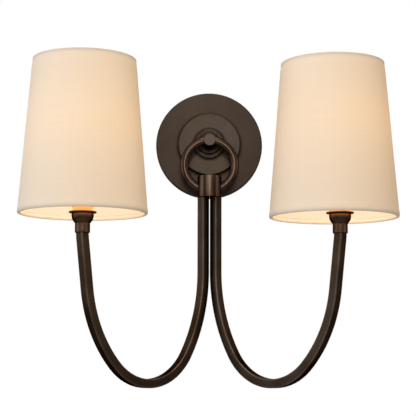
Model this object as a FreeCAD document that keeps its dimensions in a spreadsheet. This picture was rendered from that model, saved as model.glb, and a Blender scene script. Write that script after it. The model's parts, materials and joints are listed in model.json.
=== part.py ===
"""Double arm wall sconce: a round stepped backplate, a post that carries a hollow ring, a collar on the
ring, two U-shaped square tube arms, and on each arm a cup, a candle sleeve, a socket, a bulb and a
tapered shade that clips onto the bulb.

Frame, in millimetres: the origin is the centre of the backplate on the wall, +Z is up, +X is to the
right of someone facing the wall, and -Y comes out of the wall. Turned pieces are drawn round their own
z axis: out of the wall for the backplate stack, upwards for the lamps.
"""
import FreeCAD, Part
import math
import operator
import os

import Sketcher
from FreeCAD import Placement, Rotation, Vector

SIZES = {
    # crossbar behind the backplate, with a slot for each screw of the wall box
    "crossbar_length": 101.6,
    "crossbar_width": 16.0,
    "crossbar_thickness": 2.0,
    "crossbar_corner": 3.0,
    "slot_spacing": 79.4,
    "slot_length": 14.3,
    "slot_width": 4.8,
    "ground_screw_offset": 19.0,
    "ground_screw_diameter": 4.0,
    "ground_screw_head": 8.0,
    "ground_screw_head_height": 2.6,
    # hollow nipple that the whole fixture is screwed to
    "nipple_diameter": 9.8,
    "nipple_bore": 7.0,
    "nipple_in_post": 9.0,
    "nut_across_flats": 14.3,
    "nut_thickness": 3.0,
    "washer_diameter": 15.5,
    "washer_thickness": 0.9,
    "seat_gap": 0.05,
    # backplate stack
    "plate_diameter": 120.65,
    "plate_depth": 9.9,
    "plate_wall": 1.6,
    "plate_edge": 1.2,
    "disc_diameter": 69.4,
    "disc_depth": 8.0,
    "disc_wall": 1.6,
    "disc_edge": 0.8,
    "boss_diameter": 34.0,
    "boss_depth": 2.6,
    "boss_edge": 1.6,
    # post
    "neck_diameter": 23.8,
    "neck_depth": 3.1,
    "neck_edge": 1.0,
    "post_diameter": 13.9,
    "post_ahead_of_ring": 7.9,
    "post_chamfer": 0.6,
    "wire_way": 7.2,
    # ring through the post, open inside the collar
    "ring_standoff": 40.3,
    "ring_diameter": 56.0,
    "ring_tube": 9.1,
    "ring_wall": 1.1,
    "ring_drop": 27.4,
    "ring_end_inset": 2.2,
    "ring_wire_hole": 6.6,
    # collar under the ring, closed below by a plug with two spigots
    "collar_diameter": 26.5,
    "collar_wall": 2.2,
    "collar_drop": 39.8,
    "collar_height": 23.7,
    "collar_chamfer": 0.8,
    "plug_thickness": 4.0,
    "spigot_length": 10.0,
    "spigot_wall": 0.9,
    # arms: square tube, each bent in an upright plane turned away from the wall
    "bar_size": 9.525,
    "bar_corner": 0.75,
    "bar_wall": 1.2,
    "leg_spacing": 13.7,
    "arm_turn": 45.0,
    "leg_straight": 82.6,
    "shoulder_radius": 165.7,
    "shoulder_turn": 32.9,
    "bottom_radius": 65.9,
    "bottom_turn": 101.4,
    "rise_radius": 130.0,
    "rise_lean": 7.5,
    "rise_straight": 51.6,
    "tip_radius": 30.0,
    "tip_straight": 6.5,
    "wire_diameter": 2.6,
    "wire_bend": 3.5,
    "wire_entry": 5.2,
    # ferrule and cup on the tip of an arm
    "ferrule_wall": 1.15,
    "ferrule_height": 9.5,
    "ferrule_grip": 5.5,
    "ferrule_edge": 0.5,
    "stud_diameter": 8.0,
    "stud_bore": 5.6,
    "stud_length": 11.5,
    "stud_nut_across_flats": 11.0,
    "stud_nut_thickness": 2.6,
    "cup_foot_diameter": 15.0,
    "cup_bowl_diameter": 21.8,
    "cup_bowl_height": 10.3,
    "cup_bowl_radius": 10.5,
    "cup_lip_diameter": 28.1,
    "cup_lip_thickness": 1.6,
    "cup_wall": 1.2,
    "lip_recess": 0.8,
    # candle sleeve and socket
    "sleeve_diameter": 22.3,
    "sleeve_wall": 1.4,
    "sleeve_height": 50.8,
    "bracket_thickness": 1.2,
    "bracket_width": 8.0,
    "bracket_above_nut": 0.6,
    "bracket_foot_diameter": 17.4,
    "socket_below_sleeve_top": 2.0,
    "socket_height": 30.0,
    "socket_diameter": 17.4,
    "socket_base_diameter": 14.0,
    "socket_base_height": 10.0,
    "socket_floor": 6.0,
    "shell_wall": 0.5,
    "shell_height": 22.5,
    "contact_diameter": 4.0,
    "contact_height": 1.6,
    # bulb with a candelabra screw cap
    "cap_diameter": 11.9,
    "cap_clearance": 0.08,
    "cap_wall": 0.5,
    "cap_height": 20.5,
    "insulator_height": 2.4,
    "insulator_diameter": 9.0,
    "tip_contact_diameter": 4.4,
    "tip_contact_height": 1.0,
    "tip_contact_gap": 0.1,
    "bulb_diameter": 34.0,
    "bulb_height": 78.0,
    "bulb_neck_diameter": 12.6,
    "bulb_neck_height": 4.5,
    "bulb_shoulder_angle": 25.0,
    "bulb_nose_angle": 18.0,
    "glass_wall": 0.7,
    "stem_diameter": 5.0,
    "stem_height": 30.0,
    "filament_diameter": 9.0,
    "filament_height": 16.0,
    # shade, its wire frame and the clip that grips the bulb
    "shade_bottom_diameter": 130.9,
    "shade_top_diameter": 105.6,
    "shade_height": 156.8,
    "shade_below_lip": 2.0,
    "fabric_thickness": 0.7,
    "liner_thickness": 0.5,
    "layer_gap": 0.05,
    "frame_wire": 2.4,
    "spoke_wire": 2.2,
    "hub_diameter": 15.0,
    "hub_thickness": 1.5,
    "clip_wire": 1.5,
    "clip_bend": 9.0,
    "clip_height": 56.0,
    "clip_clearance": 0.35,
    "right_shade_drop": 3.1,
    "right_shade_set_in": 6.0,
}

SIDES = {"left": -1, "right": 1}
SPOKES = 3
CLIP_LEGS = 4

doc = FreeCAD.newDocument("WallSconce")
nodes = {}


class Dim:
    """A size or a place: the number it has now, and the expression that gives it in the document."""

    def __init__(self, value, text):
        self.value = value
        self.text = text

    def __add__(self, other):
        return combined(operator.add, "+", self, other)

    def __sub__(self, other):
        return combined(operator.sub, "-", self, other)

    def __mul__(self, other):
        return combined(operator.mul, "*", self, other)

    def __truediv__(self, other):
        return combined(operator.truediv, "/", self, other)

    def __neg__(self):
        return Dim(-self.value, f"(0 - {self.text})")


def dim(size):
    """The size as a Dim, also where it is a plain number."""
    return size if isinstance(size, Dim) else Dim(float(size), repr(float(size)))


def combined(operation, sign, one, other):
    one, other = dim(one), dim(other)
    return Dim(operation(one.value, other.value), f"({one.text} {sign} {other.text})")


def cosine(angle):
    return Dim(math.cos(math.radians(angle.value)), f"cos({angle.text})")


def sine(angle):
    return Dim(math.sin(math.radians(angle.value)), f"sin({angle.text})")


class Sheet:
    """The spreadsheet of driving sizes; each alias is also an attribute that gives its Dim."""

    def __init__(self, table):
        sheet = doc.addObject("Spreadsheet::Sheet", "Sizes")
        for row, (alias, number) in enumerate(table.items(), 1):
            sheet.set(f"A{row}", str(number))
            sheet.setAlias(f"A{row}", alias)
            setattr(self, alias, Dim(number, f"Sizes.{alias}"))


s = Sheet(SIZES)
doc.recompute()


# ---------------------------------------------------------------- drawing helpers


def bind(thing, path, size):
    """Tie a property of the document object to a size."""
    thing.setExpression(path, dim(size).text)


def place(thing, x=0.0, y=0.0, z=0.0, axis=Vector(0, 0, 1), turn=0.0):
    """Put an object at a bound place, turned by a bound angle about an axis through that place."""
    turn = dim(turn)
    base = [dim(part) for part in (x, y, z)]
    spot = Vector(*(part.value for part in base))
    thing.Placement = Placement(spot, Rotation(axis, turn.value))
    for letter, part in zip("xyz", base):
        bind(thing, f"Placement.Base.{letter}", part)
    if turn.value:
        bind(thing, "Placement.Rotation.Angle", turn)


def node(label, thing):
    """Keep the object as a sub-part under its label."""
    thing.Label = label
    nodes[label] = thing
    return thing


def new_body(label):
    return node(label, doc.addObject("PartDesign::Body", label))


def sketch_on(body, plane, name):
    """A sketch on one of the body's own origin planes."""
    sketch = body.newObject("Sketcher::SketchObject", f"{body.Name}_{name}")
    support = [part for part in body.Origin.OriginFeatures if part.Role == plane]
    sketch.AttachmentSupport = (support[0], [""])
    sketch.MapMode = "FlatFace"
    return sketch


def fix(sketch, kind, size, *where):
    """Add a constraint of a bound size."""
    size = dim(size)
    index = sketch.addConstraint(Sketcher.Constraint(kind, *where, size.value))
    sketch.setExpression(f"Constraints[{index}]", size.text)


def fix_point(sketch, geometry, end, x, y):
    fix(sketch, "DistanceX", x, -1, 1, geometry, end)
    fix(sketch, "DistanceY", y, -1, 1, geometry, end)


def arc_between(start, end, radius):
    """The short arc from start to end, turning left where the radius is positive."""
    half = (end - start) / 2
    rise = math.sqrt(radius * radius - half.Length * half.Length)
    left = Vector(-half.y, half.x, 0).normalize()
    centre = start + half + left * math.copysign(rise, radius)
    first, last = (start, end) if radius > 0 else (end, start)
    angles = [math.atan2(point.y - centre.y, point.x - centre.x) for point in (first, last)]
    if angles[1] < angles[0]:
        angles[1] += 2 * math.pi
    return Part.ArcOfCircle(Part.Circle(centre, Vector(0, 0, 1), abs(radius)), *angles)


def trace(sketch, steps, closed):
    """Draw through the steps: (x, y) is a straight run to that point, and (x, y, radius, way) an arc
    to it that turns left for a way of 1 and right for -1."""
    steps = [tuple(dim(part) for part in step[:3]) + tuple(step[3:]) for step in steps]
    points = [Vector(step[0].value, step[1].value, 0) for step in steps]
    first = sketch.GeometryCount
    runs = range(0 if closed else 1, len(steps))
    ends = []
    for i in runs:
        if len(steps[i]) == 2:
            sketch.addGeometry(Part.LineSegment(points[i - 1], points[i]), False)
            ends.append((1, 2))
        else:
            radius, way = steps[i][2:]
            arc = arc_between(points[i - 1], points[i], radius.value * way)
            index = sketch.addGeometry(arc, False)
            fix(sketch, "Radius", radius, index)
            ends.append((1, 2) if way > 0 else (2, 1))
    count = len(ends)
    for i, (_, last) in enumerate(ends):
        fix_point(sketch, first + i, last, *steps[runs[i]][:2])
        if closed or i + 1 < count:
            following = (i + 1) % count
            joined = (first + i, last, first + following, ends[following][0])
            sketch.addConstraint(Sketcher.Constraint("Coincident", *joined))
    if not closed:
        fix_point(sketch, first, ends[0][0], *steps[0][:2])


def circle(sketch, x, y, radius):
    x, y, radius = dim(x), dim(y), dim(radius)
    round_line = Part.Circle(Vector(x.value, y.value, 0), Vector(0, 0, 1), radius.value)
    index = sketch.addGeometry(round_line, False)
    fix(sketch, "Radius", radius, index)
    fix_point(sketch, index, 3, x, y)


def rounded_box(sketch, width, height, corner):
    """A rectangle round the origin with rounded corners."""
    x, y, r = dim(width) / 2, dim(height) / 2, dim(corner)
    trace(
        sketch,
        [
            (-x, -y + r),
            (-x + r, -y, r, 1),
            (x - r, -y),
            (x, -y + r, r, 1),
            (x, y - r),
            (x - r, y, r, 1),
            (-x + r, y),
            (-x, y - r, r, 1),
        ],
        closed=True,
    )


def slot(sketch, x, length, width):
    """A round-ended slot along the sketch's x axis, centred at (x, 0)."""
    x, reach, radius = dim(x), (length - width) / 2, width / 2
    up, centre = Vector(0, 0, 1), [x - reach, x + reach]
    right = Part.Circle(Vector(centre[1].value, 0, 0), up, radius.value)
    left = Part.Circle(Vector(centre[0].value, 0, 0), up, radius.value)
    quarter = math.pi / 2
    first = sketch.addGeometry(Part.ArcOfCircle(right, -quarter, quarter), False)
    second = sketch.addGeometry(Part.ArcOfCircle(left, quarter, 3 * quarter), False)
    ends = [Vector(place_x.value, radius.value, 0) for place_x in centre]
    top = sketch.addGeometry(Part.LineSegment(ends[1], ends[0]), False)
    ends = [Vector(place_x.value, -radius.value, 0) for place_x in centre]
    base = sketch.addGeometry(Part.LineSegment(ends[0], ends[1]), False)
    chain = [(first, 2, top, 1), (top, 2, second, 1), (second, 2, base, 1), (base, 2, first, 1)]
    for joined in chain:
        sketch.addConstraint(Sketcher.Constraint("Tangent", *joined))
    for arc, place_x in ((first, centre[1]), (second, centre[0])):
        fix_point(sketch, arc, 3, place_x, 0.0)
    fix(sketch, "Radius", radius, first)
    sketch.addConstraint(Sketcher.Constraint("Equal", first, second))


def revolve(body, *steps):
    """Turn a closed outline, given as (radius, height) steps, about the body's z axis."""
    outline = sketch_on(body, "XZ_Plane", "outline")
    trace(outline, steps, closed=True)
    turned = body.newObject("PartDesign::Revolution", f"{body.Name}_turned")
    turned.Profile = outline
    turned.ReferenceAxis = (outline, ["V_Axis"])
    turned.Angle = 360
    return body


def turned_body(label, *steps):
    return revolve(new_body(label), *steps)


def tube(label, outer, bore, bottom, top):
    """A plain turned tube between two heights."""
    return turned_body(label, (bore, bottom), (outer, bottom), (outer, top), (bore, top))


def pad(body, sketch, height, reverse=False):
    feature = body.newObject("PartDesign::Pad", f"{sketch.Name}_pad")
    feature.Profile = sketch
    bind(feature, "Length", height)
    feature.Reversed = reverse
    return feature


def pocket_through(body, sketch):
    """Cut the sketch through the whole body, both ways from its plane."""
    feature = body.newObject("PartDesign::Pocket", f"{sketch.Name}_cut")
    feature.Profile = sketch
    feature.Type = "ThroughAll"
    feature.Midplane = True
    return feature


def boolean(kind, base, tool, name):
    feature = doc.addObject(f"Part::{kind}", name)
    feature.Base = base
    feature.Tool = tool
    return feature


def hex_nut(label, across_flats, bore_radius, thickness):
    """A hexagon nut with its lower face at z = 0."""
    prism = doc.addObject("Part::Prism", f"{label}_hexagon")
    prism.Polygon = 6
    bind(prism, "Circumradius", across_flats / math.sqrt(3))
    bind(prism, "Height", thickness)
    hole = doc.addObject("Part::Cylinder", f"{label}_hole")
    bind(hole, "Radius", bore_radius)
    bind(hole, "Height", thickness)
    return node(label, boolean("Cut", prism, hole, label))


OUT_OF_WALL = {"axis": Vector(1, 0, 0), "turn": 90.0}


def stand_off(thing, distance):
    """Turn a piece's z axis out of the wall and start it at a distance from the wall."""
    place(thing, y=-dim(distance), **OUT_OF_WALL)


# ---------------------------------------------------------------- wall bracket and backplate

nipple_radius = s.nipple_diameter / 2
nipple_hole = nipple_radius + s.seat_gap
disc_start = s.plate_depth
boss_start = disc_start + s.disc_depth
post_start = boss_start + s.boss_depth


def build_crossbar():
    """The steel strip across the wall box, with two slots, the tapped centre and the ground screw."""
    body = new_body("mounting_crossbar")
    face = sketch_on(body, "XY_Plane", "face")
    rounded_box(face, s.crossbar_length, s.crossbar_width, s.crossbar_corner)
    for side in SIDES.values():
        slot(face, s.slot_spacing / 2 * side, s.slot_length, s.slot_width)
    circle(face, 0, 0, nipple_hole)
    circle(face, s.ground_screw_offset, 0, s.ground_screw_diameter / 2 + s.seat_gap)
    pad(body, face, s.crossbar_thickness)
    stand_off(body, 0)

    shank, head = s.ground_screw_diameter / 2, s.ground_screw_head / 2
    top = s.crossbar_thickness + s.ground_screw_head_height
    screw = turned_body(
        "ground_screw",
        (0, 0),
        (shank, 0),
        (shank, s.crossbar_thickness),
        (head, s.crossbar_thickness),
        (head, top),
        (0, top),
    )
    place(screw, x=s.ground_screw_offset, **OUT_OF_WALL)


def build_nipple():
    """The hollow nipple through crossbar and backplate into the post, with its washer and nut."""
    nipple_end = post_start + s.nipple_in_post
    stand_off(tube("threaded_nipple", nipple_radius, s.nipple_bore / 2, 0, nipple_end), 0)
    washer = tube("lock_washer", s.washer_diameter / 2, nipple_hole, 0, s.washer_thickness)
    stand_off(washer, s.crossbar_thickness)
    nut = hex_nut("nipple_nut", s.nut_across_flats, nipple_hole, s.nut_thickness)
    stand_off(nut, s.crossbar_thickness + s.washer_thickness)


def dish(label, radius, depth, wall, edge):
    """A spun dish: open behind, with a rounded front edge and a hole for the nipple."""
    return turned_body(
        label,
        (nipple_hole, depth - wall),
        (radius - wall, depth - wall),
        (radius - wall, 0),
        (radius, 0),
        (radius, depth - edge),
        (radius - edge, depth, edge, 1),
        (nipple_hole, depth),
    )


def build_backplate():
    """The round canopy, the smaller disc on it and the boss that the post is screwed against."""
    stand_off(dish("backplate", s.plate_diameter / 2, s.plate_depth, s.plate_wall, s.plate_edge), 0)
    raised = dish("raised_disc", s.disc_diameter / 2, s.disc_depth, s.disc_wall, s.disc_edge)
    stand_off(raised, disc_start)
    radius, edge = s.boss_diameter / 2, s.boss_edge
    boss = turned_body(
        "boss",
        (nipple_hole, 0),
        (radius, 0),
        (radius, s.boss_depth - edge),
        (radius - edge, s.boss_depth, edge, 1),
        (nipple_hole, s.boss_depth),
    )
    stand_off(boss, boss_start)


# ---------------------------------------------------------------- post, ring and collar

ring_radius = s.ring_diameter / 2
collar_radius = s.collar_diameter / 2
collar_inside = collar_radius - s.collar_wall
collar_base = s.collar_drop + s.collar_height
ring_end = collar_inside - s.ring_end_inset


def ring_torus(name, tube_radius):
    """A torus on the ring's centreline."""
    torus = doc.addObject("Part::Torus", name)
    bind(torus, "Radius1", ring_radius)
    bind(torus, "Radius2", tube_radius)
    place(torus, y=-s.ring_standoff, z=-s.ring_drop, **OUT_OF_WALL)
    return torus


def build_ring():
    """The hollow ring: bent from one tube, with its open ends inside the collar and a wire hole at
    the back inside the post. Returns the torus that clears it from the pieces it passes through."""
    whole = ring_torus("ring_outside", s.ring_tube / 2)
    bore = ring_torus("ring_bore", s.ring_tube / 2 - s.ring_wall)
    hollow = boolean("Cut", whole, bore, "ring_hollow")

    gap = doc.addObject("Part::Box", "ring_gap")
    bind(gap, "Length", ring_end * 2)
    bind(gap, "Width", s.ring_tube * 2)
    bind(gap, "Height", ring_radius + s.ring_tube)
    place(
        gap,
        x=-ring_end,
        y=-s.ring_standoff - s.ring_tube,
        z=-s.ring_drop - ring_radius - s.ring_tube,
    )
    opened = boolean("Cut", hollow, gap, "ring_opened")

    way_in = doc.addObject("Part::Cylinder", "ring_wire_hole")
    bind(way_in, "Radius", s.ring_wire_hole / 2)
    bind(way_in, "Height", s.ring_tube / 2)
    stand_off(way_in, s.ring_standoff - s.ring_tube / 2)
    node("ring", boolean("Cut", opened, way_in, "ring"))
    return ring_torus("ring_clearance", s.ring_tube / 2 + s.seat_gap)


def build_post(ring_room):
    """The turned post: a neck on the boss, a stem, the nipple's bore, and the ring's cross bore."""
    neck, stem = s.neck_diameter / 2, s.post_diameter / 2
    length = s.ring_standoff + s.post_ahead_of_ring - post_start
    ring_level = s.ring_standoff - post_start
    post = doc.addObject("PartDesign::Body", "post_turned")
    revolve(
        post,
        (nipple_hole, 0),
        (neck, 0),
        (neck, s.neck_depth - s.neck_edge),
        (neck - s.neck_edge, s.neck_depth, s.neck_edge, 1),
        (stem, s.neck_depth),
        (stem, length - s.post_chamfer),
        (stem - s.post_chamfer, length),
        (0, length),
        (0, ring_level),
        (s.wire_way / 2, ring_level),
        (s.wire_way / 2, s.nipple_in_post),
        (nipple_hole, s.nipple_in_post),
    )
    stand_off(post, post_start)
    node("post", boolean("Cut", post, ring_room, "post"))


def build_collar(ring_room):
    """The collar that the ring's ends enter, and the plug that closes it and holds the arms."""
    top = s.collar_height
    collar = doc.addObject("PartDesign::Body", "collar_turned")
    revolve(
        collar,
        (collar_inside, 0),
        (collar_radius, 0),
        (collar_radius, top - s.collar_chamfer),
        (collar_radius - s.collar_chamfer, top),
        (0, top),
        (0, top - s.collar_wall),
        (collar_inside, top - s.collar_wall),
    )
    place(collar, y=-s.ring_standoff, z=-collar_base)
    node("collar", boolean("Cut", collar, ring_room, "collar"))

    spigot = s.bar_size / 2 - s.bar_wall - s.seat_gap
    plug = new_body("collar_plug")
    disc = sketch_on(plug, "XY_Plane", "disc")
    circle(disc, 0, 0, collar_inside - s.seat_gap)
    pad(plug, disc, s.plug_thickness)
    pegs = sketch_on(plug, "XY_Plane", "pegs")
    holes = sketch_on(plug, "XY_Plane", "holes")
    for side in SIDES.values():
        circle(pegs, s.leg_spacing / 2 * side, 0, spigot)
        circle(holes, s.leg_spacing / 2 * side, 0, spigot - s.spigot_wall)
    pad(plug, pegs, s.spigot_length, reverse=True)
    pocket_through(plug, holes)
    place(plug, y=-s.ring_standoff, z=-collar_base)


# ---------------------------------------------------------------- arms


def arm_route():
    """Corners of an arm's centreline in its own plane, from the collar down and round to the tip: a
    straight leg, three tangent bends of unlike radius, a leaning rise, and a short upright tip."""
    shoulder, bottom, rise = s.shoulder_radius, s.bottom_radius, s.rise_radius
    turned = s.shoulder_turn + s.bottom_turn
    start = (dim(0), -s.leg_straight)
    one = (shoulder * (dim(1) - cosine(s.shoulder_turn)), start[1] - shoulder * sine(s.shoulder_turn))
    centre = (
        shoulder - (shoulder - bottom) * cosine(s.shoulder_turn),
        start[1] - (shoulder - bottom) * sine(s.shoulder_turn),
    )
    two = (centre[0] - bottom * cosine(turned), centre[1] - bottom * sine(turned))
    centre = (
        centre[0] - (bottom - rise) * cosine(turned),
        centre[1] - (bottom - rise) * sine(turned),
    )
    three = (centre[0] + rise * cosine(s.rise_lean), centre[1] - rise * sine(s.rise_lean))
    four = (
        three[0] + s.rise_straight * sine(s.rise_lean),
        three[1] + s.rise_straight * cosine(s.rise_lean),
    )
    upright = (
        four[0] + s.tip_radius * (dim(1) - cosine(s.rise_lean)),
        four[1] + s.tip_radius * sine(s.rise_lean),
    )
    return [
        (dim(0), dim(0)),
        start,
        (*one, shoulder, 1),
        (*two, bottom, 1),
        (*three, rise, 1),
        four,
        (*upright, s.tip_radius, 1),
        (upright[0], upright[1] + s.tip_straight),
    ]


def build_arm(side, sign):
    """Sweep the hollow square section along one arm's centreline. Returns the place of the arm's
    tip, where the lamp is seated, and the centreline."""
    body = new_body(f"{side}_arm")
    path = sketch_on(body, "XZ_Plane", "path")
    trace(path, arm_route(), closed=False)
    section = sketch_on(body, "XY_Plane", "section")
    rounded_box(section, s.bar_size, s.bar_size, s.bar_corner)
    inside = s.bar_size / 2 - s.bar_wall
    corners = [(-inside, -inside), (inside, -inside), (inside, inside), (-inside, inside)]
    trace(section, corners, closed=True)
    pipe = body.newObject("PartDesign::AdditivePipe", f"{side}_arm_pipe")
    pipe.Profile = section
    pipe.Spine = (path, [])
    pipe.Mode = "Binormal"
    pipe.Binormal = Vector(0, 1, 0)
    turn = -s.arm_turn if sign > 0 else s.arm_turn + 180
    place(body, x=s.leg_spacing / 2 * sign, y=-s.ring_standoff, z=-collar_base, turn=turn)

    reach, level = arm_route()[-1]
    seat = doc.addObject("Part::Vertex", f"{side}_tip")
    tip = (
        (s.leg_spacing / 2 + reach * cosine(s.arm_turn)) * sign,
        -s.ring_standoff - reach * sine(s.arm_turn),
        level - collar_base,
    )
    for letter, part in zip("XYZ", tip):
        bind(seat, letter, part)
    doc.recompute()
    centreline = path.Shape.copy()
    centreline.Placement = body.Placement.multiply(path.Placement)
    seat = [Dim(part.value, f"({side}_tip.{letter} / 1mm)") for letter, part in zip("XYZ", tip)]
    return seat, centreline


def arc_about(centre, radius, start, end):
    """The short arc about a centre, between two unit directions from it."""
    middle = (start + end).normalize()
    return Part.Arc(*(centre + way * radius for way in (start, middle, end))).toShape()


def build_wire(side, sign, seat, centreline):
    """The wire of one lamp along its real route: out through the nipple, round its side of the ring,
    down through the collar, along the arm and up to the socket. The route leaves every plane, so the
    piece is swept with Part's own functions."""
    sideways, outwards, down = Vector(sign, 0, 0), Vector(0, -1, 0), Vector(0, 0, -1)
    ring, turn, end = ring_radius.value, s.wire_bend.value, ring_end.value
    leg = s.leg_spacing.value / 2
    centre = Vector(0, -s.ring_standoff.value, -s.ring_drop.value)
    enter = math.asin(s.wire_entry.value / ring)
    leave = math.pi - math.asin(end / ring)
    from_centre = [
        sideways * math.sin(angle) - down * math.cos(angle)
        for angle in (enter, (enter + leave) / 2, leave)
    ]
    entry, halfway, exit_point = (centre + way * ring for way in from_centre)

    heading = sideways * math.cos(enter) + down * math.sin(enter)
    first_centre = entry - outwards * turn
    first = first_centre - heading * turn
    last_turn = (end - leg) / (1 - end / ring)
    last_centre = exit_point + from_centre[2] * last_turn
    leg_top = Vector(leg * sign, -s.ring_standoff.value, -collar_base.value)
    tip = Vector(*(part.value for part in seat))
    start = Vector(first.x, 0, first.z)
    edges = [
        Part.makeLine(start, first),
        arc_about(first_centre, turn, -heading, outwards),
        Part.Arc(entry, halfway, exit_point).toShape(),
        arc_about(last_centre, last_turn, -from_centre[2], -sideways),
        Part.makeLine(last_centre - sideways * last_turn, leg_top),
        *centreline.Edges,
        Part.makeLine(tip, tip - down * socket_base.value),
    ]
    route = Part.Wire(Part.__sortEdges__(edges))
    section = Part.Wire(Part.makeCircle(s.wire_diameter.value / 2, start, outwards))
    wire = node(f"{side}_wire", doc.addObject("Part::Feature", f"{side}_wire"))
    wire.Shape = route.makePipeShell([section], True, False)


# ---------------------------------------------------------------- lamp: heights are above the tip

stud_radius = s.stud_diameter / 2
stud_hole = stud_radius + s.seat_gap
bar_reach = s.bar_size / 2 * math.sqrt(2) - s.bar_corner * (math.sqrt(2) - 1)
ferrule_bore = bar_reach + s.seat_gap
ferrule_radius = ferrule_bore + s.ferrule_wall
cup_base = s.ferrule_height - s.ferrule_grip
lip_bottom = cup_base + s.cup_bowl_height
lip_top = lip_bottom + s.cup_lip_thickness
sleeve_base = lip_top - s.lip_recess
sleeve_top = sleeve_base + s.sleeve_height
nut_base = cup_base + s.cup_wall
bracket_base = nut_base + s.stud_nut_thickness + s.bracket_above_nut
socket_top = sleeve_top - s.socket_below_sleeve_top
socket_base = socket_top - s.socket_height
contact_base = socket_base + s.socket_floor
shell_inside = s.cap_diameter / 2 + s.cap_clearance
shell_radius = shell_inside + s.shell_wall
bulb_foot = contact_base + s.contact_height + s.tip_contact_gap
cap_base = bulb_foot + s.tip_contact_height + s.insulator_height
glass_base = cap_base + s.cap_height
bulb_widest = (
    glass_base
    + s.bulb_neck_height
    + s.bulb_diameter / 2 * sine(s.bulb_shoulder_angle)
    + (s.bulb_diameter / 2 * cosine(s.bulb_shoulder_angle) - s.bulb_neck_diameter / 2)
    * cosine(s.bulb_shoulder_angle)
    / sine(s.bulb_shoulder_angle)
)
bulb_top = glass_base + s.bulb_height


def build_cup(side, seat):
    """The ferrule on the arm's tip and the spun cup, held by a hollow stud and its nut."""
    pieces = [
        turned_body(
            f"{side}_ferrule",
            (ferrule_bore, -s.ferrule_grip),
            (ferrule_radius - s.ferrule_edge, -s.ferrule_grip),
            (ferrule_radius, -s.ferrule_grip + s.ferrule_edge),
            (ferrule_radius, cup_base),
            (stud_hole, cup_base),
            (stud_hole, 0),
            (ferrule_bore, 0),
        ),
        tube(f"{side}_cup_stud", stud_radius, s.stud_bore / 2, 0, s.stud_length),
    ]
    foot, bowl, bend = s.cup_foot_diameter / 2, s.cup_bowl_diameter / 2, s.cup_bowl_radius
    lip, wall, recess = s.cup_lip_diameter / 2, s.cup_wall, s.sleeve_diameter / 2 + s.seat_gap
    pieces.append(
        turned_body(
            f"{side}_cup",
            (stud_hole, cup_base),
            (foot, cup_base),
            (bowl, lip_bottom, bend, 1),
            (lip, lip_bottom),
            (lip, lip_top),
            (recess, lip_top),
            (recess, sleeve_base),
            (bowl - wall, sleeve_base),
            (bowl - wall, lip_bottom),
            (foot - wall, nut_base, bend - wall, -1),
            (stud_hole, nut_base),
        )
    )
    for piece in pieces:
        place(piece, *seat)
    nut = hex_nut(f"{side}_cup_nut", s.stud_nut_across_flats, stud_hole, s.stud_nut_thickness)
    place(nut, seat[0], seat[1], seat[2] + nut_base)


def build_socket(side, seat):
    """The socket on its strap bracket: body, screw shell and centre contact, inside the sleeve."""
    base_radius, radius = s.socket_base_diameter / 2, s.socket_diameter / 2
    step = socket_base + s.socket_base_height
    strap_in = base_radius + s.seat_gap
    bracket = new_body(f"{side}_socket_bracket")
    foot = sketch_on(bracket, "XY_Plane", "foot")
    circle(foot, 0, 0, s.bracket_foot_diameter / 2)
    circle(foot, 0, 0, stud_hole)
    pad(bracket, foot, s.bracket_thickness)
    strap = sketch_on(bracket, "XY_Plane", "strap")
    across, strap_out = s.bracket_width / 2, strap_in + s.bracket_thickness
    corners = [(-across, strap_in), (across, strap_in), (across, strap_out), (-across, strap_out)]
    trace(strap, corners, closed=True)
    pad(bracket, strap, step - bracket_base)
    place(bracket, seat[0], seat[1], seat[2] + bracket_base)

    hollow = shell_radius + s.seat_gap
    body = turned_body(
        f"{side}_socket_body",
        (0, socket_base),
        (base_radius, socket_base),
        (base_radius, step),
        (radius, step),
        (radius, socket_top),
        (hollow, socket_top),
        (hollow, contact_base),
        (0, contact_base),
    )
    shell_base = contact_base + s.contact_height
    shell = tube(f"{side}_socket_shell", shell_radius, shell_inside, shell_base, shell_base + s.shell_height)
    contact = turned_body(
        f"{side}_socket_contact",
        (0, contact_base),
        (s.contact_diameter / 2, contact_base),
        (s.contact_diameter / 2, contact_base + s.contact_height),
        (0, contact_base + s.contact_height),
    )
    outside = s.sleeve_diameter / 2
    sleeve = tube(f"{side}_candle_sleeve", outside, outside - s.sleeve_wall, sleeve_base, sleeve_top)
    for piece in (body, shell, contact, sleeve):
        place(piece, *seat)


# ---------------------------------------------------------------- bulb


def glass_outline(inset):
    """Outline of the glass from its neck to its nose, drawn in by an inset: a shoulder and a nose
    that run straight off a round middle. The last step is at the nose's radius, below the top."""
    shoulder, nose = s.bulb_shoulder_angle, s.bulb_nose_angle
    neck, middle = s.bulb_neck_diameter / 2 - inset, s.bulb_diameter / 2 - inset
    low, high = middle * cosine(shoulder), middle * cosine(nose)
    shoulder_level = bulb_widest - middle * sine(shoulder)
    nose_level = bulb_widest + middle * sine(nose)
    neck_top = shoulder_level - (low - neck) * cosine(shoulder) / sine(shoulder)
    top = bulb_top - inset
    return [
        (neck, glass_base),
        (neck, neck_top),
        (low, shoulder_level),
        (high, nose_level, middle, 1),
        (high - (top - nose_level) * sine(nose) / cosine(nose), top),
    ]


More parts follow.
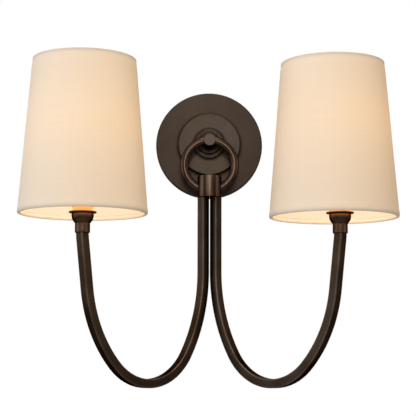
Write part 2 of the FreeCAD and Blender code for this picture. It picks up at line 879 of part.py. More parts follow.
def build_bulb(side, seat):
    """The screw bulb: tip contact, insulator, cap, glass envelope and the stem with its filament."""
    cap, tip = s.cap_diameter / 2, s.tip_contact_diameter / 2
    insulator = s.insulator_diameter / 2
    insulator_base = bulb_foot + s.tip_contact_height
    pieces = [
        turned_body(
            f"{side}_bulb_contact",
            (0, bulb_foot),
            (tip, bulb_foot),
            (tip, insulator_base),
            (0, insulator_base),
        ),
        turned_body(
            f"{side}_bulb_insulator",
            (0, insulator_base),
            (tip, insulator_base),
            (insulator, cap_base),
            (0, cap_base),
        ),
        turned_body(
            f"{side}_bulb_cap",
            (0, cap_base),
            (insulator, cap_base),
            (cap, cap_base + (cap - insulator)),
            (cap, glass_base),
            (cap - s.cap_wall, glass_base),
            (cap - s.cap_wall, cap_base + (cap - insulator)),
            (insulator - s.cap_wall, cap_base + s.cap_wall),
            (0, cap_base + s.cap_wall),
        ),
    ]
    neck, neck_top, low, high, nose = glass_outline(s.glass_wall)
    envelope = turned_body(
        f"{side}_bulb_glass",
        *glass_outline(dim(0)),
        (0, bulb_top),
        (0, bulb_top - s.glass_wall),
        nose,
        high[:2],
        (*low, high[2], -1),
        neck_top,
        neck,
    )
    stem, filament = s.stem_diameter / 2, s.filament_diameter / 2
    filament_base = glass_base + s.stem_height
    inner = turned_body(
        f"{side}_bulb_stem",
        (0, cap_base + s.cap_wall),
        (stem, cap_base + s.cap_wall),
        (stem, filament_base),
        (filament, filament_base),
        (filament, filament_base + s.filament_height),
        (0, filament_base + s.filament_height),
    )
    for piece in (*pieces, envelope, inner):
        place(piece, *seat)


# ---------------------------------------------------------------- shade


def cone_shell(label, inset, thickness):
    """A tapered shell of the shade's height, standing on z = 0, at an inset from its outside."""
    wide, narrow = s.shade_bottom_diameter / 2 - inset, s.shade_top_diameter / 2 - inset
    return turned_body(
        label,
        (wide - thickness, 0),
        (wide, 0),
        (narrow, s.shade_height),
        (narrow - thickness, s.shade_height),
    )


def wire_hoop(label, radius, height):
    """A hoop of frame wire just inside the shade, drawn with eight flats."""
    reach = s.frame_wire / 2
    flat = reach * math.tan(math.pi / 8)
    corners = [
        (radius - reach, height - flat),
        (radius - flat, height - reach),
        (radius + flat, height - reach),
        (radius + reach, height - flat),
        (radius + reach, height + flat),
        (radius + flat, height + reach),
        (radius - flat, height + reach),
        (radius - reach, height + flat),
    ]
    return turned_body(label, *corners)


def build_shade(side, sign, seat):
    """The shade: fabric on a stiff liner, two hoops, the spider and the clip that grips the bulb."""
    set_in = s.right_shade_set_in * -sign if sign > 0 else dim(0)
    drop = s.right_shade_drop if sign > 0 else dim(0)
    base = lip_top - s.shade_below_lip - drop
    lining = s.fabric_thickness + s.layer_gap
    hoop_inset = lining + s.liner_thickness + s.layer_gap + s.frame_wire / 2
    slope = (s.shade_bottom_diameter - s.shade_top_diameter) / 2 / s.shade_height
    allowance = slope * s.frame_wire
    bottom_radius = s.shade_bottom_diameter / 2 - hoop_inset - allowance
    top_radius = s.shade_top_diameter / 2 - hoop_inset
    top_level = s.shade_height - s.frame_wire / 2
    pieces = [
        cone_shell(f"{side}_shade_fabric", dim(0), s.fabric_thickness),
        cone_shell(f"{side}_shade_liner", lining, s.liner_thickness),
        wire_hoop(f"{side}_shade_bottom_hoop", bottom_radius, s.frame_wire / 2),
        wire_hoop(f"{side}_shade_top_hoop", top_radius, top_level),
    ]
    for piece in pieces:
        place(piece, seat[0] + set_in, seat[1], seat[2] + base)

    clip_level = bulb_top + s.clip_clearance + s.clip_wire / 2 + s.right_shade_drop - drop
    build_clip(side, seat, clip_level)
    hub_level = clip_level + s.clip_wire / 2
    top_hoop = (set_in, base + top_level, top_radius - s.frame_wire / 2)
    build_spider(side, seat, hub_level, top_hoop)


def build_clip(side, seat, level):
    """The bulb clip: crossed wire loops over the bulb's nose whose legs grip its widest part."""
    body = new_body(f"{side}_bulb_clip")
    leg_radius = s.bulb_diameter / 2 + s.clip_clearance + s.clip_wire / 2
    end = level - s.clip_height
    path = sketch_on(body, "XZ_Plane", "path")
    trace(
        path,
        [
            (0, level),
            (leg_radius - s.clip_bend, level),
            (leg_radius, level - s.clip_bend, s.clip_bend, -1),
            (leg_radius, end),
        ],
        closed=False,
    )
    section = sketch_on(body, "YZ_Plane", "section")
    circle(section, 0, level, s.clip_wire / 2)
    leg = body.newObject("PartDesign::AdditivePipe", f"{side}_clip_leg")
    leg.Profile = section
    leg.Spine = (path, [])
    doc.recompute()
    around = body.newObject("PartDesign::PolarPattern", f"{side}_clip_legs")
    around.Originals = [leg]
    upright = [part for part in body.Origin.OriginFeatures if part.Role == "Z_Axis"]
    around.Axis = (upright[0], [""])
    around.Angle = 360
    around.Occurrences = CLIP_LEGS
    body.Tip = around
    place(body, *seat)


def build_spider(side, seat, hub_level, top_hoop):
    """The hub washer on the clip and the spokes that rise from it to the top hoop."""
    set_in, hoop_level, hoop_inside = (part.value for part in top_hoop)
    wire, hub = s.spoke_wire.value / 2, s.hub_diameter.value / 2
    level = hub_level.value + wire
    shape = Part.makeCylinder(hub, s.hub_thickness.value, Vector(0, 0, hub_level.value))
    for index in range(SPOKES):
        angle = 2 * math.pi * index / SPOKES + math.pi / 2
        way = Vector(math.cos(angle), math.sin(angle), 0)
        inner = way * (hub * 0.6) + Vector(0, 0, level)
        outer = Vector(set_in, 0, hoop_level) + way * hoop_inside
        run = outer - inner
        shape = shape.fuse(Part.makeCylinder(wire, run.Length, inner, run))
    spider = node(f"{side}_shade_spider", doc.addObject("Part::Feature", f"{side}_shade_spider"))
    spider.Shape = shape.removeSplitter()
    place(spider, *seat)


# ---------------------------------------------------------------- assembly and export


def build():
    build_crossbar()
    build_nipple()
    build_backplate()
    ring_room = build_ring()
    build_post(ring_room)
    build_collar(ring_room)
    for side, sign in SIDES.items():
        seat, centreline = build_arm(side, sign)
        build_wire(side, sign, seat, centreline)
        build_cup(side, seat)
        build_socket(side, seat)
        build_bulb(side, seat)
        build_shade(side, sign, seat)
    doc.recompute()


def check():
    """Stop where an object failed to build or a sub-part has no valid solid."""
    for thing in doc.Objects:
        if {"Invalid", "Error"} & set(thing.State):
            raise RuntimeError(f"{thing.Name} failed: {thing.State}")
    for label, thing in nodes.items():
        shape = thing.Shape
        if shape.isNull() or not shape.isValid() or not shape.Solids:
            raise RuntimeError(f"{label} has no valid solid")


def export():
    os.makedirs("parts", exist_ok=True)
    for label, thing in nodes.items():
        thing.Shape.exportStep(f"parts/{label}.step")
        box = thing.Shape.BoundBox
        lows = f"{box.XMin:8.2f} {box.YMin:8.2f} {box.ZMin:8.2f}"
        highs = f"{box.XMax:8.2f} {box.YMax:8.2f} {box.ZMax:8.2f}"
        print(f"{label:26s} {len(thing.Shape.Solids)} {thing.Shape.Volume:10.1f}  {lows}  {highs}")


build()
check()
export()
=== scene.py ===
"""Looks of the double arm wall sconce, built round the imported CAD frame.

The frame gives every node its place: the origin is the centre of the backplate on the wall, +Z is up,
+X is to the right of someone who faces the wall, and -Y comes out of the wall. Sizes in this file are
millimetres unless a class says otherwise, and they become metres where a mesh or a node is made.
"""

from __future__ import annotations

import json
import logging
import math
from dataclasses import dataclass
from enum import Enum, IntEnum
from typing import Callable, Sequence, Union

import bmesh
import bpy
import numpy as np
from mathutils import Matrix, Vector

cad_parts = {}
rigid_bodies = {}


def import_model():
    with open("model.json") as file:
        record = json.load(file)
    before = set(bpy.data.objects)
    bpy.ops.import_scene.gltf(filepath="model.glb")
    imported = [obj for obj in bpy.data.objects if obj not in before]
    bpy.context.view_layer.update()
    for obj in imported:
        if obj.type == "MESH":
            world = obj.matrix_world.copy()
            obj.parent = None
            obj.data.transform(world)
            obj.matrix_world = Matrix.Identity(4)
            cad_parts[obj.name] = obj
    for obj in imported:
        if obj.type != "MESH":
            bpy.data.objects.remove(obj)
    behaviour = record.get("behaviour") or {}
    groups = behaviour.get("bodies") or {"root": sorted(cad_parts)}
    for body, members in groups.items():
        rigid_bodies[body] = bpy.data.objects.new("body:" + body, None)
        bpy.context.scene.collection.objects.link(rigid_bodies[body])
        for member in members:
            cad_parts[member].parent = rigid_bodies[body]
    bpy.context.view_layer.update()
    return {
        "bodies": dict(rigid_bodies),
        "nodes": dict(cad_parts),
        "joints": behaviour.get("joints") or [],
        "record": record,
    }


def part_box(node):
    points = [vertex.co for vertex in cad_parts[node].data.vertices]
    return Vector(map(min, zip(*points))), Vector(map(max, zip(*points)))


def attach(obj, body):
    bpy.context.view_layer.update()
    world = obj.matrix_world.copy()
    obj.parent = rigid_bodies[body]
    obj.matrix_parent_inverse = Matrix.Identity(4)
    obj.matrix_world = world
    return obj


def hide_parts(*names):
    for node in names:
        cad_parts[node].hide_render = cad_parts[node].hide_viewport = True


LOG = logging.getLogger("sconce")
# One millimetre in metres, and a full turn in radians.
MM = 0.001
FULL_TURN = 2.0 * math.pi
# Width of the photograph in pixels, in which the camera's focal length was fitted.
PHOTO_PIXELS = 416
# Height of the filament over the foot of the bulb's glass, in millimetres.
FILAMENT_RISE = 34.0
# Points closer than the first are welded, and edges shorter than the second go, in metres.
WELD = 1e-6
SLIVER = 1e-7
# Below this angle in radians an arc is drawn as a straight line.
STRAIGHT = 1e-6
# Largest step along a fillet's arc, in degrees.
FILLET_STEP = 11.0
# Sides of a thin round wire.
WIRE_SIDES = 12
# The stops between which most values of a noise lie.
NOISE_CORE = (0.3, 0.7)

Colour = tuple[float, float, float]
Point = tuple[float, float, float]
Stops = tuple[float, float]
Socket = bpy.types.NodeSocket
Input = Union[float, Point, Socket]


class Side(Enum):
    """The two arms: each value is the arm's sign along X."""

    LEFT = -1
    RIGHT = 1

    @property
    def word(self) -> str:
        """The side's name as the CAD nodes begin with it."""
        return self.name.lower()


class Axis(Enum):
    """Where the turning axis of a turned piece points."""

    UP = "up"
    OUT_OF_WALL = "out of the wall"


class Turns(IntEnum):
    """Steps round the axis of a turned piece, by the piece's width."""

    SHADE = 240
    PLATE = 160
    HOOP = 144
    BOSS = 128
    CUP = 96
    CANDLE = 72
    HUB = 48


# ---------------------------------------------------------------- surfaces


@dataclass
class Patch:
    """A surface patch: a grid of points in millimetres, and each point's place on the cloth."""

    points: np.ndarray
    cloth: np.ndarray


def arc_points(centre: np.ndarray, start: np.ndarray, end: np.ndarray, count: int) -> np.ndarray:
    """Points on the short arc round a centre.

    Slerp: each point is the centre plus the start and end spokes weighted by the sines of the angle
    still to go and the angle gone.

    Args:
        centre: Centre of the arc.
        start: Spoke from the centre to the first point.
        end: Spoke from the centre to the last point.
        count: Number of points, with both ends.

    Returns:
        An array of count points.
    """
    cosine = float(np.dot(start, end) / (np.linalg.norm(start) * np.linalg.norm(end)))
    angle = math.acos(min(1.0, max(-1.0, cosine)))
    gone = np.linspace(0.0, 1.0, count)[:, None]
    if angle < STRAIGHT:
        return centre + start + (end - start) * gone
    weight_start = np.sin((1.0 - gone) * angle) / math.sin(angle)
    weight_end = np.sin(gone * angle) / math.sin(angle)
    return centre + start * weight_start + end * weight_end


def rounded_outline(corners: Sequence[tuple[float, ...]], closed: bool = True) -> np.ndarray:
    """Outline through corners, with an arc tangent to both runs where a corner has a fillet.

    The arc starts and ends at fillet / tan(half the corner's angle) from the corner, and its centre
    lies on the corner's bisector at fillet / sin(half the angle).

    Args:
        corners: (radius, height) or (radius, height, fillet) of each corner, in order.
        closed: Whether the last corner joins the first.

    Returns:
        An array of (radius, height) points; a closed outline repeats its first point at its end.
    """
    spots = [np.array(corner[:2], float) for corner in corners]
    count = len(spots)
    pieces: list[np.ndarray] = []
    for index, corner in enumerate(corners):
        here, fillet = spots[index], corner[2] if len(corner) > 2 else 0.0
        if fillet <= 0.0 or (not closed and index in (0, count - 1)):
            pieces.append(here[None, :])
            continue
        back = spots[index - 1] - here
        ahead = spots[(index + 1) % count] - here
        back, ahead = back / np.linalg.norm(back), ahead / np.linalg.norm(ahead)
        half = math.acos(min(1.0, max(-1.0, float(np.dot(back, ahead))))) / 2.0
        bisector = (back + ahead) / np.linalg.norm(back + ahead)
        centre = here + bisector * fillet / math.sin(half)
        reach = fillet / math.tan(half)
        steps = max(3, int(math.degrees(math.pi - 2.0 * half) / FILLET_STEP) + 2)
        start, end = here + back * reach - centre, here + ahead * reach - centre
        pieces.append(arc_points(centre, start, end, steps))
    outline = np.concatenate(pieces)
    return np.concatenate([outline, outline[:1]]) if closed else outline


def turned(outline: np.ndarray, turns: Turns, ripple: Callable | None = None) -> Patch:
    """Turn an outline about its axis: x = r cos a, y = r sin a, z = height.

    Args:
        outline: (radius, height) points.
        turns: Number of steps round the axis.
        ripple: Optional function of the angle and height grids that gives a change of radius.

    Returns:
        The patch, whose cloth place is the length along the outline and round its widest circle.
    """
    angle = np.linspace(0.0, FULL_TURN, turns + 1)[None, :]
    radius, height = outline[:, :1], outline[:, 1:2]
    angles = np.broadcast_to(angle, (len(outline), turns + 1))
    heights = np.broadcast_to(height, angles.shape)
    radii = np.broadcast_to(radius, angles.shape).copy()
    if ripple is not None:
        radii += ripple(angles, heights)
    points = np.stack([radii * np.cos(angles), radii * np.sin(angles), heights], axis=-1)
    run = np.concatenate([[0.0], np.cumsum(np.linalg.norm(np.diff(outline, axis=0), axis=1))])
    cloth = np.stack([angles * outline[:, 0].max(), np.broadcast_to(run[:, None], angles.shape)], -1)
    return Patch(points, cloth)


def carried(section: np.ndarray, path: np.ndarray, across: np.ndarray, up: np.ndarray) -> list[Patch]:
    """Carry a closed section along a path and close both ends.

    Each point is the path's point plus the section's first coordinate along the across vector and
    its second along the up vector. An end cap runs from the section's last ring to its middle.

    Args:
        section: Closed (first, second) outline of the section.
        path: Points of the path.
        across: Unit vector for the section's first coordinate, at each path point.
        up: Unit vector for the section's second coordinate, at each path point.

    Returns:
        The side and the two caps.
    """
    first, second = section[None, :, 0, None], section[None, :, 1, None]
    points = path[:, None, :] + first * across[:, None, :] + second * up[:, None, :]
    run = np.concatenate([[0.0], np.cumsum(np.linalg.norm(np.diff(path, axis=0), axis=1))])
    edge = np.concatenate([[0.0], np.cumsum(np.linalg.norm(np.diff(section, axis=0), axis=1))])
    cloth = np.stack(np.broadcast_arrays(edge[None, :], run[:, None]), axis=-1)
    patches = [Patch(points, cloth)]
    for end in (0, -1):
        middle = np.broadcast_to(path[end], points[end].shape)
        flat = np.stack([section, section * 0.0])
        patches.append(Patch(np.stack([points[end], middle]), flat))
    return patches


def round_section(radius: float, sides: int = WIRE_SIDES) -> np.ndarray:
    """Closed circle of a radius, as a section: first = r cos a, second = r sin a."""
    angle = np.linspace(0.0, FULL_TURN, sides + 1)
    return radius * np.stack([np.cos(angle), np.sin(angle)], axis=-1)


def frames_along(path: np.ndarray, normal: np.ndarray) -> tuple[np.ndarray, np.ndarray]:
    """Across and up vectors along a flat path.

    The across vector is the tangent crossed with the plane's normal, and up is the normal itself.

    Args:
        path: Points of a path that lies in one plane.
        normal: Unit normal of that plane.

    Returns:
        The across and up vectors at each point.
    """
    tangent = np.gradient(path, axis=0)
    tangent /= np.linalg.norm(tangent, axis=1)[:, None]
    across = np.cross(tangent, normal)
    return across / np.linalg.norm(across, axis=1)[:, None], np.broadcast_to(normal, path.shape)


def wire_patches(
    path: np.ndarray, radius: float, normal: np.ndarray, sides: int = WIRE_SIDES
) -> list[Patch]:
    """A round wire along a flat path: its circular section carried in the path's plane."""
    across, up = frames_along(path, normal)
    return carried(round_section(radius, sides), path, across, up)


def moved(patches: Sequence[Patch], place: Point, axis: Axis = Axis.UP) -> list[Patch]:
    """Put patches at a place, with their own z axis up or out of the wall.

    Out of the wall, (x, y, z) becomes (x, -z, y), the turn that the CAD pieces have.

    Args:
        patches: The patches.
        place: Where their own origin goes, in millimetres.
        axis: Where their own z axis points.

    Returns:
        New patches with the same places on the cloth.
    """
    placed = []
    for patch in patches:
        points = patch.points
        if axis is Axis.OUT_OF_WALL:
            points = np.stack([points[..., 0], -points[..., 2], points[..., 1]], axis=-1)
        placed.append(Patch(points + np.array(place), patch.cloth))
    return placed


def mesh_piece(name: str, patches: Sequence[Patch], crease: float = 32.0) -> bpy.types.Object:
    """Make one closed mesh object of patches, in metres, at the origin.

    Args:
        name: Name of the piece.
        patches: Its patches, which meet along their edges.
        crease: Angle in degrees above which an edge stays sharp.

    Returns:
        The object, with welded seams, outward faces and a UV map in metres.
    """
    corners, faces, places, base = [], [], [], 0
    for patch in patches:
        rows, columns = patch.points.shape[:2]
        index = np.arange(rows * columns).reshape(rows, columns) + base
        quads = np.stack([index[:-1, :-1], index[:-1, 1:], index[1:, 1:], index[1:, :-1]], axis=-1)
        corners.append(patch.points.reshape(-1, 3))
        places.append(patch.cloth.reshape(-1, 2))
        faces.append(quads.reshape(-1, 4))
        base += rows * columns
    quads = np.concatenate(faces)
    mesh = bpy.data.meshes.new(name)
    mesh.from_pydata((np.concatenate(corners) * MM).tolist(), [], quads.tolist())
    uv = mesh.uv_layers.new(name="cloth")
    uv.data.foreach_set("uv", (np.concatenate(places) * MM)[quads.reshape(-1)].ravel())
    weld_and_orient(mesh)
    mesh.shade_smooth()
    mesh.set_sharp_from_angle(angle=math.radians(crease))
    piece = bpy.data.objects.new(name, mesh)
    bpy.context.scene.collection.objects.link(piece)
    return piece


def weld_and_orient(mesh: bpy.types.Mesh) -> None:
    """Weld the seams of a mesh, drop faces that closed up, and turn its faces outwards.

    Args:
        mesh: The mesh, which is changed itself.
    """
    work = bmesh.new()
    work.from_mesh(mesh)
    bmesh.ops.remove_doubles(work, verts=work.verts, dist=WELD)
    bmesh.ops.dissolve_degenerate(work, edges=work.edges, dist=SLIVER)
    bmesh.ops.recalc_face_normals(work, faces=work.faces)
    work.to_mesh(mesh)
    work.free()


# ---------------------------------------------------------------- finishes


class NodeSheet:
    """Builds the nodes of one material."""

    def __init__(self, name: str) -> None:
        """Start a material with a shader and an output.

        Args:
            name: The material's name.
        """
        self.material = bpy.data.materials.new(name)
        self.material.use_nodes = True
        self.tree = self.material.node_tree
        self.shader = self.tree.nodes["Principled BSDF"]

    def add(self, kind: str, settings: dict | None = None, **inputs: Input) -> bpy.types.Node:
        """Add a node, set its own settings, and set or link its inputs.

        Args:
            kind: The node's type name.
            settings: Properties of the node itself.
            **inputs: Values or output sockets by input name, with _ for a space.

        Returns:
            The node.
        """
        node = self.tree.nodes.new(kind)
        for key, value in (settings or {}).items():
            setattr(node, key, value)
        for key, value in inputs.items():
            self.feed(node.inputs[key.replace("_", " ")], value)
        return node

    def feed(self, socket: Socket, value: Input) -> None:
        """Link an output into a socket, or set the socket's own value.

        Args:
            socket: The input socket.
            value: An output socket, a number, or three numbers for a vector or an opaque colour.
        """
        if isinstance(value, bpy.types.NodeSocket):
            self.tree.links.new(value, socket)
        elif isinstance(value, tuple) and len(value) == 3 and socket.type == "RGBA":
            socket.default_value = (*value, 1.0)
        else:
            socket.default_value = value

    def math(self, operation: str, first: Input, second: Input = 0.0) -> Socket:
        """One step of arithmetic.

        Args:
            operation: The step's name.
            first: The first value.
            second: The second value, for a step that takes two.

        Returns:
            The result.
        """
        node = self.add("ShaderNodeMath", {"operation": operation})
        self.feed(node.inputs[0], first)
        self.feed(node.inputs[1], second)
        return node.outputs[0]

    def places(self, scale: Point = (1.0, 1.0, 1.0), cloth: bool = False) -> Socket:
        """Object coordinates, or the piece's own UV map, in metres times a scale."""
        source = self.add("ShaderNodeTexCoord").outputs["UV" if cloth else "Object"]
        return self.add("ShaderNodeMapping", Vector=source, Scale=scale).outputs[0]

    def noise(self, where: Socket, scale: float, detail: float = 3.0) -> Socket:
        """Noise between 0 and 1, with a scale in features per metre."""
        return self.add("ShaderNodeTexNoise", Vector=where, Scale=scale, Detail=detail).outputs[0]

    def ramp(self, value: Socket, low: float, high: float, stops: Stops, how: str = "LINEAR") -> Socket:
        """Stretch a value, which stays at the nearer end outside the stops.

        Args:
            value: The value.
            low: The result at the first stop.
            high: The result at the second stop.
            stops: Where the stretch starts and ends.
            how: The curve between the stops.

        Returns:
            The stretched value.
        """
        node = self.add("ShaderNodeMapRange", {"interpolation_type": how}, Value=value)
        node.inputs["From Min"].default_value, node.inputs["From Max"].default_value = stops
        node.inputs["To Min"].default_value, node.inputs["To Max"].default_value = low, high
        return node.outputs[0]

    def blend(self, factor: Input, first: Input, second: Input) -> Socket:
        """Mix two colours. The node's inputs 6 and 7 and its output 2 are those for colours.

        Args:
            factor: 0 gives the first colour and 1 the second.
            first: The first colour.
            second: The second colour.

        Returns:
            The mixed colour.
        """
        node = self.add("ShaderNodeMix", {"data_type": "RGBA"})
        self.feed(node.inputs[0], factor)
        self.feed(node.inputs[6], first)
        self.feed(node.inputs[7], second)
        return node.outputs[2]

    def bump(self, height: Socket, depth: float, strength: float) -> None:
        """Roughen the surface: depth is the height's full range in metres."""
        node = self.add("ShaderNodeBump", Height=height, Distance=depth, Strength=strength)
        self.feed(self.shader.inputs["Normal"], node.outputs[0])

    def set(self, **values: Input) -> None:
        """Set or link inputs of the shader, with _ for a space."""
        for key, value in values.items():
            self.feed(self.shader.inputs[key.replace("_", " ")], value)


@dataclass(frozen=True)
class Finish:
    """A finish: its name and the record's material slot that it stands for."""

    name: str
    slot: str

    def material(self) -> bpy.types.Material:
        """The finish's material, built the first time that it is asked for.

        Returns:
            The material, which carries the finish's name.
        """
        found = bpy.data.materials.get(self.name)
        if found is not None:
            return found
        sheet = NodeSheet(self.name)
        self.paint(sheet)
        return sheet.material

    def paint(self, sheet: NodeSheet) -> None:
        """Wire up the nodes. Each finish has its own."""
        raise NotImplementedError


@dataclass(frozen=True)
class RubbedBronze(Finish):
    """Dark oil-rubbed bronze: brown, satin and mottled by the hand rubbing.

    The tint is what the metal reflects at a glancing angle, and it keeps the rims as dark as the faces.
    """

    dark: Colour = (0.039, 0.0240, 0.0155)
    pale: Colour = (0.056, 0.0395, 0.0300)
    # Paler colour at outward bends: bronze rubbed bright there, and a painted highlight.
    worn: Colour = (0.130, 0.095, 0.070)
    tint: Colour = (0.30, 0.19, 0.12)
    rough_low: float = 0.27
    rough_high: float = 0.34
    cloud_scale: float = 38.0
    cloud_stops: Stops = (0.35, 0.68)
    speck_scale: float = 1400.0
    speck_depth: float = 0.06
    wear: float = 0.55
    bend_stops: Stops = (0.52, 0.60)

    def paint(self, sheet: NodeSheet) -> None:
        """Mottle from clouds of noise, paler bends rubbed bright and painted as a highlight, and a fine
        grain.

        Args:
            sheet: The material's nodes.
        """
        where = sheet.places()
        cloud = sheet.noise(where, self.cloud_scale, detail=4.0)
        speck = sheet.noise(where, self.speck_scale, detail=2.0)
        colour = sheet.blend(sheet.ramp(cloud, 0.0, 1.0, self.cloud_stops), self.dark, self.pale)
        colour = self.rub(sheet, colour, cloud)
        sheet.set(Base_Color=colour, Metallic=1.0, Specular_Tint=self.tint)
        sheet.set(Roughness=sheet.ramp(cloud, self.rough_low, self.rough_high, NOISE_CORE))
        sheet.bump(speck, self.speck_depth * MM, strength=0.5)

    def rub(self, sheet: NodeSheet, colour: Socket, cloud: Socket) -> Socket:
        """Paler where the surface bends outwards: bronze rubbed bright there, and a painted highlight.

        Args:
            sheet: The material's nodes.
            colour: The mottled bronze.
            cloud: The noise of the mottle, which breaks up the paler bends.

        Returns:
            The bronze with its paler bends.
        """
        bend = sheet.add("ShaderNodeNewGeometry").outputs["Pointiness"]
        wear = sheet.math("MULTIPLY", sheet.ramp(bend, 0.0, self.wear, self.bend_stops), cloud)
        return sheet.blend(wear, colour, self.worn)


@dataclass(frozen=True)
class RubbedBar(RubbedBronze):
    """The same bronze on the square bar, paler along its four long edges: rubbed bright, and a painted
    highlight.

    The perimeter is the bar's own, and the arc is the length of one rounded corner. The paler edge is
    whole within the flat, by the distance from the middle of an edge, and gone at the band.
    """

    dark: Colour = (0.0220, 0.0141, 0.0087)
    pale: Colour = (0.0335, 0.0232, 0.0163)
    # Paler colour along the edges: bronze rubbed bright there, and a painted highlight.
    worn: Colour = (0.072, 0.060, 0.051)
    rough_low: float = 0.34
    rough_high: float = 0.42
    perimeter: float = 36.8
    arc: float = 1.18
    flat: float = 0.3
    band: float = 1.5
    least_wear: float = 0.45
    wear_stops: Stops = (0.35, 0.6)

    def rub(self, sheet: NodeSheet, colour: Socket, cloud: Socket) -> Socket:
        """Paler edges, rubbed bright and a painted highlight, by the distance round the bar from the
        nearest edge.

        The distance folds back and forth between 0 at an edge and an eighth of the perimeter at the
        middle of a face.

        Args:
            sheet: The material's nodes.
            colour: The mottled bronze.
            cloud: The noise of the mottle, which breaks up the paler edges.

        Returns:
            The bronze with its paler edges.
        """
        split = sheet.add("ShaderNodeSeparateXYZ", Vector=sheet.places(cloth=True))
        round_bar = sheet.math("SUBTRACT", split.outputs[0], self.arc / 2.0 * MM)
        away = sheet.math("PINGPONG", round_bar, self.perimeter / 8.0 * MM)
        near = sheet.ramp(away, 1.0, 0.0, (self.flat * MM, self.band * MM))
        patchy = sheet.ramp(cloud, self.least_wear, 1.0, self.wear_stops)
        return sheet.blend(sheet.math("MULTIPLY", near, patchy), colour, self.worn)


@dataclass(frozen=True)
class SpunBronze(RubbedBronze):
    """The same bronze on a spun plate, dark in the corner round the next piece: oxide and painted
    shade.

    The recess is the radius of the piece that stands on the plate, and the corner is the width of the
    dark ring round it, where the rubbing doesn't reach and shade falls. Within the recess, past the
    lip, it is not darkened.
    """

    dark: Colour = (0.0262, 0.0190, 0.0140)
    pale: Colour = (0.0348, 0.0268, 0.0218)
    rough_low: float = 0.40
    rough_high: float = 0.48
    recess: float = 34.7
    corner: float = 5.0
    lip: float = 0.5
    # Colour of the dark corner ring: oxide, and painted shade where the next piece stands.
    patina: Colour = (0.006, 0.003, 0.0015)
    cover: float = 0.75

    def rub(self, sheet: NodeSheet, colour: Socket, cloud: Socket) -> Socket:
        """Oxide and painted shade by the distance from the turning axis.

        It rises over the lip just inside the recess, covers its share of the bronze at the recess and
        fades to none a corner away.

        Args:
            sheet: The material's nodes.
            colour: The mottled bronze.
            cloud: The noise of the mottle; not used here.

        Returns:
            The bronze with its dark corner ring.
        """
        flat = sheet.add("ShaderNodeVectorMath", {"operation": "MULTIPLY"})
        sheet.feed(flat.inputs[0], sheet.places())
        flat.inputs[1].default_value = (1.0, 0.0, 1.0)
        radius = sheet.add("ShaderNodeVectorMath", {"operation": "LENGTH"})
        sheet.feed(radius.inputs[0], flat.outputs[0])
        outside = (self.recess * MM, (self.recess + self.corner) * MM)
        inside = ((self.recess - self.lip) * MM, (self.recess - self.lip / 2.0) * MM)
        fade = sheet.ramp(radius.outputs["Value"], self.cover, 0.0, outside, how="SMOOTHERSTEP")
        rise = sheet.ramp(radius.outputs["Value"], 0.0, 1.0, inside)
        return sheet.blend(sheet.math("MULTIPLY", fade, rise), colour, self.patina)


@dataclass(frozen=True)
class PlatedSteel(Finish):
    """Zinc plated steel: pale grey with soft blotches and the marks of the roll."""

    colour: Colour = (0.52, 0.52, 0.50)
    tint: Colour = (0.62, 0.60, 0.50)
    roughness: float = 0.34
    spread: Stops = (-0.08, 0.1)
    blotch_scale: float = 220.0
    blotch_stops: Stops = (0.4, 0.7)
    tint_share: float = 0.7
    grain_scale: Point = (60.0, 2500.0, 2500.0)
    grain_depth: float = 0.02

    def paint(self, sheet: NodeSheet) -> None:
        """Blotches tint the plating, and long fine noise gives the rolled grain.

        Args:
            sheet: The material's nodes.
        """
        blotch = sheet.noise(sheet.places(), self.blotch_scale, detail=4.0)
        grain = sheet.noise(sheet.places(self.grain_scale), 1.0, detail=2.0)
        tinted = sheet.ramp(blotch, 0.0, self.tint_share, self.blotch_stops)
        sheet.set(Base_Color=sheet.blend(tinted, self.colour, self.tint), Metallic=1.0)
        low, high = self.roughness + self.spread[0], self.roughness + self.spread[1]
        sheet.set(Roughness=sheet.ramp(grain, low, high, NOISE_CORE))
        sheet.bump(grain, self.grain_depth * MM, strength=0.5)


@dataclass(frozen=True)
class LampBrass(Finish):
    """Thin drawn brass, a little tarnished."""

    bright: Colour = (0.72, 0.50, 0.20)
    dull: Colour = (0.40, 0.26, 0.10)
    rough_low: float = 0.2
    rough_high: float = 0.42
    patch_scale: float = 320.0
    patch_stops: Stops = (0.45, 0.75)
    tarnish: float = 0.8

    def paint(self, sheet: NodeSheet) -> None:
        """Tarnish in soft patches over the bright metal.

        Args:
            sheet: The material's nodes.
        """
        patch = sheet.noise(sheet.places(), self.patch_scale, detail=4.0)
        tarnished = sheet.ramp(patch, 0.0, self.tarnish, self.patch_stops)
        sheet.set(Base_Color=sheet.blend(tarnished, self.bright, self.dull), Metallic=1.0)
        sheet.set(Roughness=sheet.ramp(patch, self.rough_low, self.rough_high, NOISE_CORE))


@dataclass(frozen=True)
class Enamel(Finish):
    """Moulded plastic, paint or ceramic of one hue with a faint mottle."""

    colour: Colour = (0.5, 0.5, 0.5)
    roughness: float = 0.5
    mottle: float = 0.12
    grain: float = 900.0
    glow: Colour | None = None
    spread: Stops = (-0.05, 0.08)
    peel_depth: float = 0.04

    def paint(self, sheet: NodeSheet) -> None:
        """Mottle darkens the hue by its share, and the same noise is the surface's orange peel.

        Args:
            sheet: The material's nodes.
        """
        noise = sheet.noise(sheet.places(), self.grain, detail=3.0)
        darker = tuple(part * (1.0 - self.mottle) for part in self.colour)
        sheet.set(Base_Color=sheet.blend(noise, self.colour, darker))
        low, high = self.roughness + self.spread[0], self.roughness + self.spread[1]
        sheet.set(Roughness=sheet.ramp(noise, low, high, NOISE_CORE))
        sheet.bump(noise, self.peel_depth * MM, strength=0.35)
        # A glow is emission: the filament's own light, or painted light where the bulb lights a piece
        # from behind.
        if self.glow is not None:
            sheet.set(Emission_Color=self.glow, Emission_Strength=1.0)


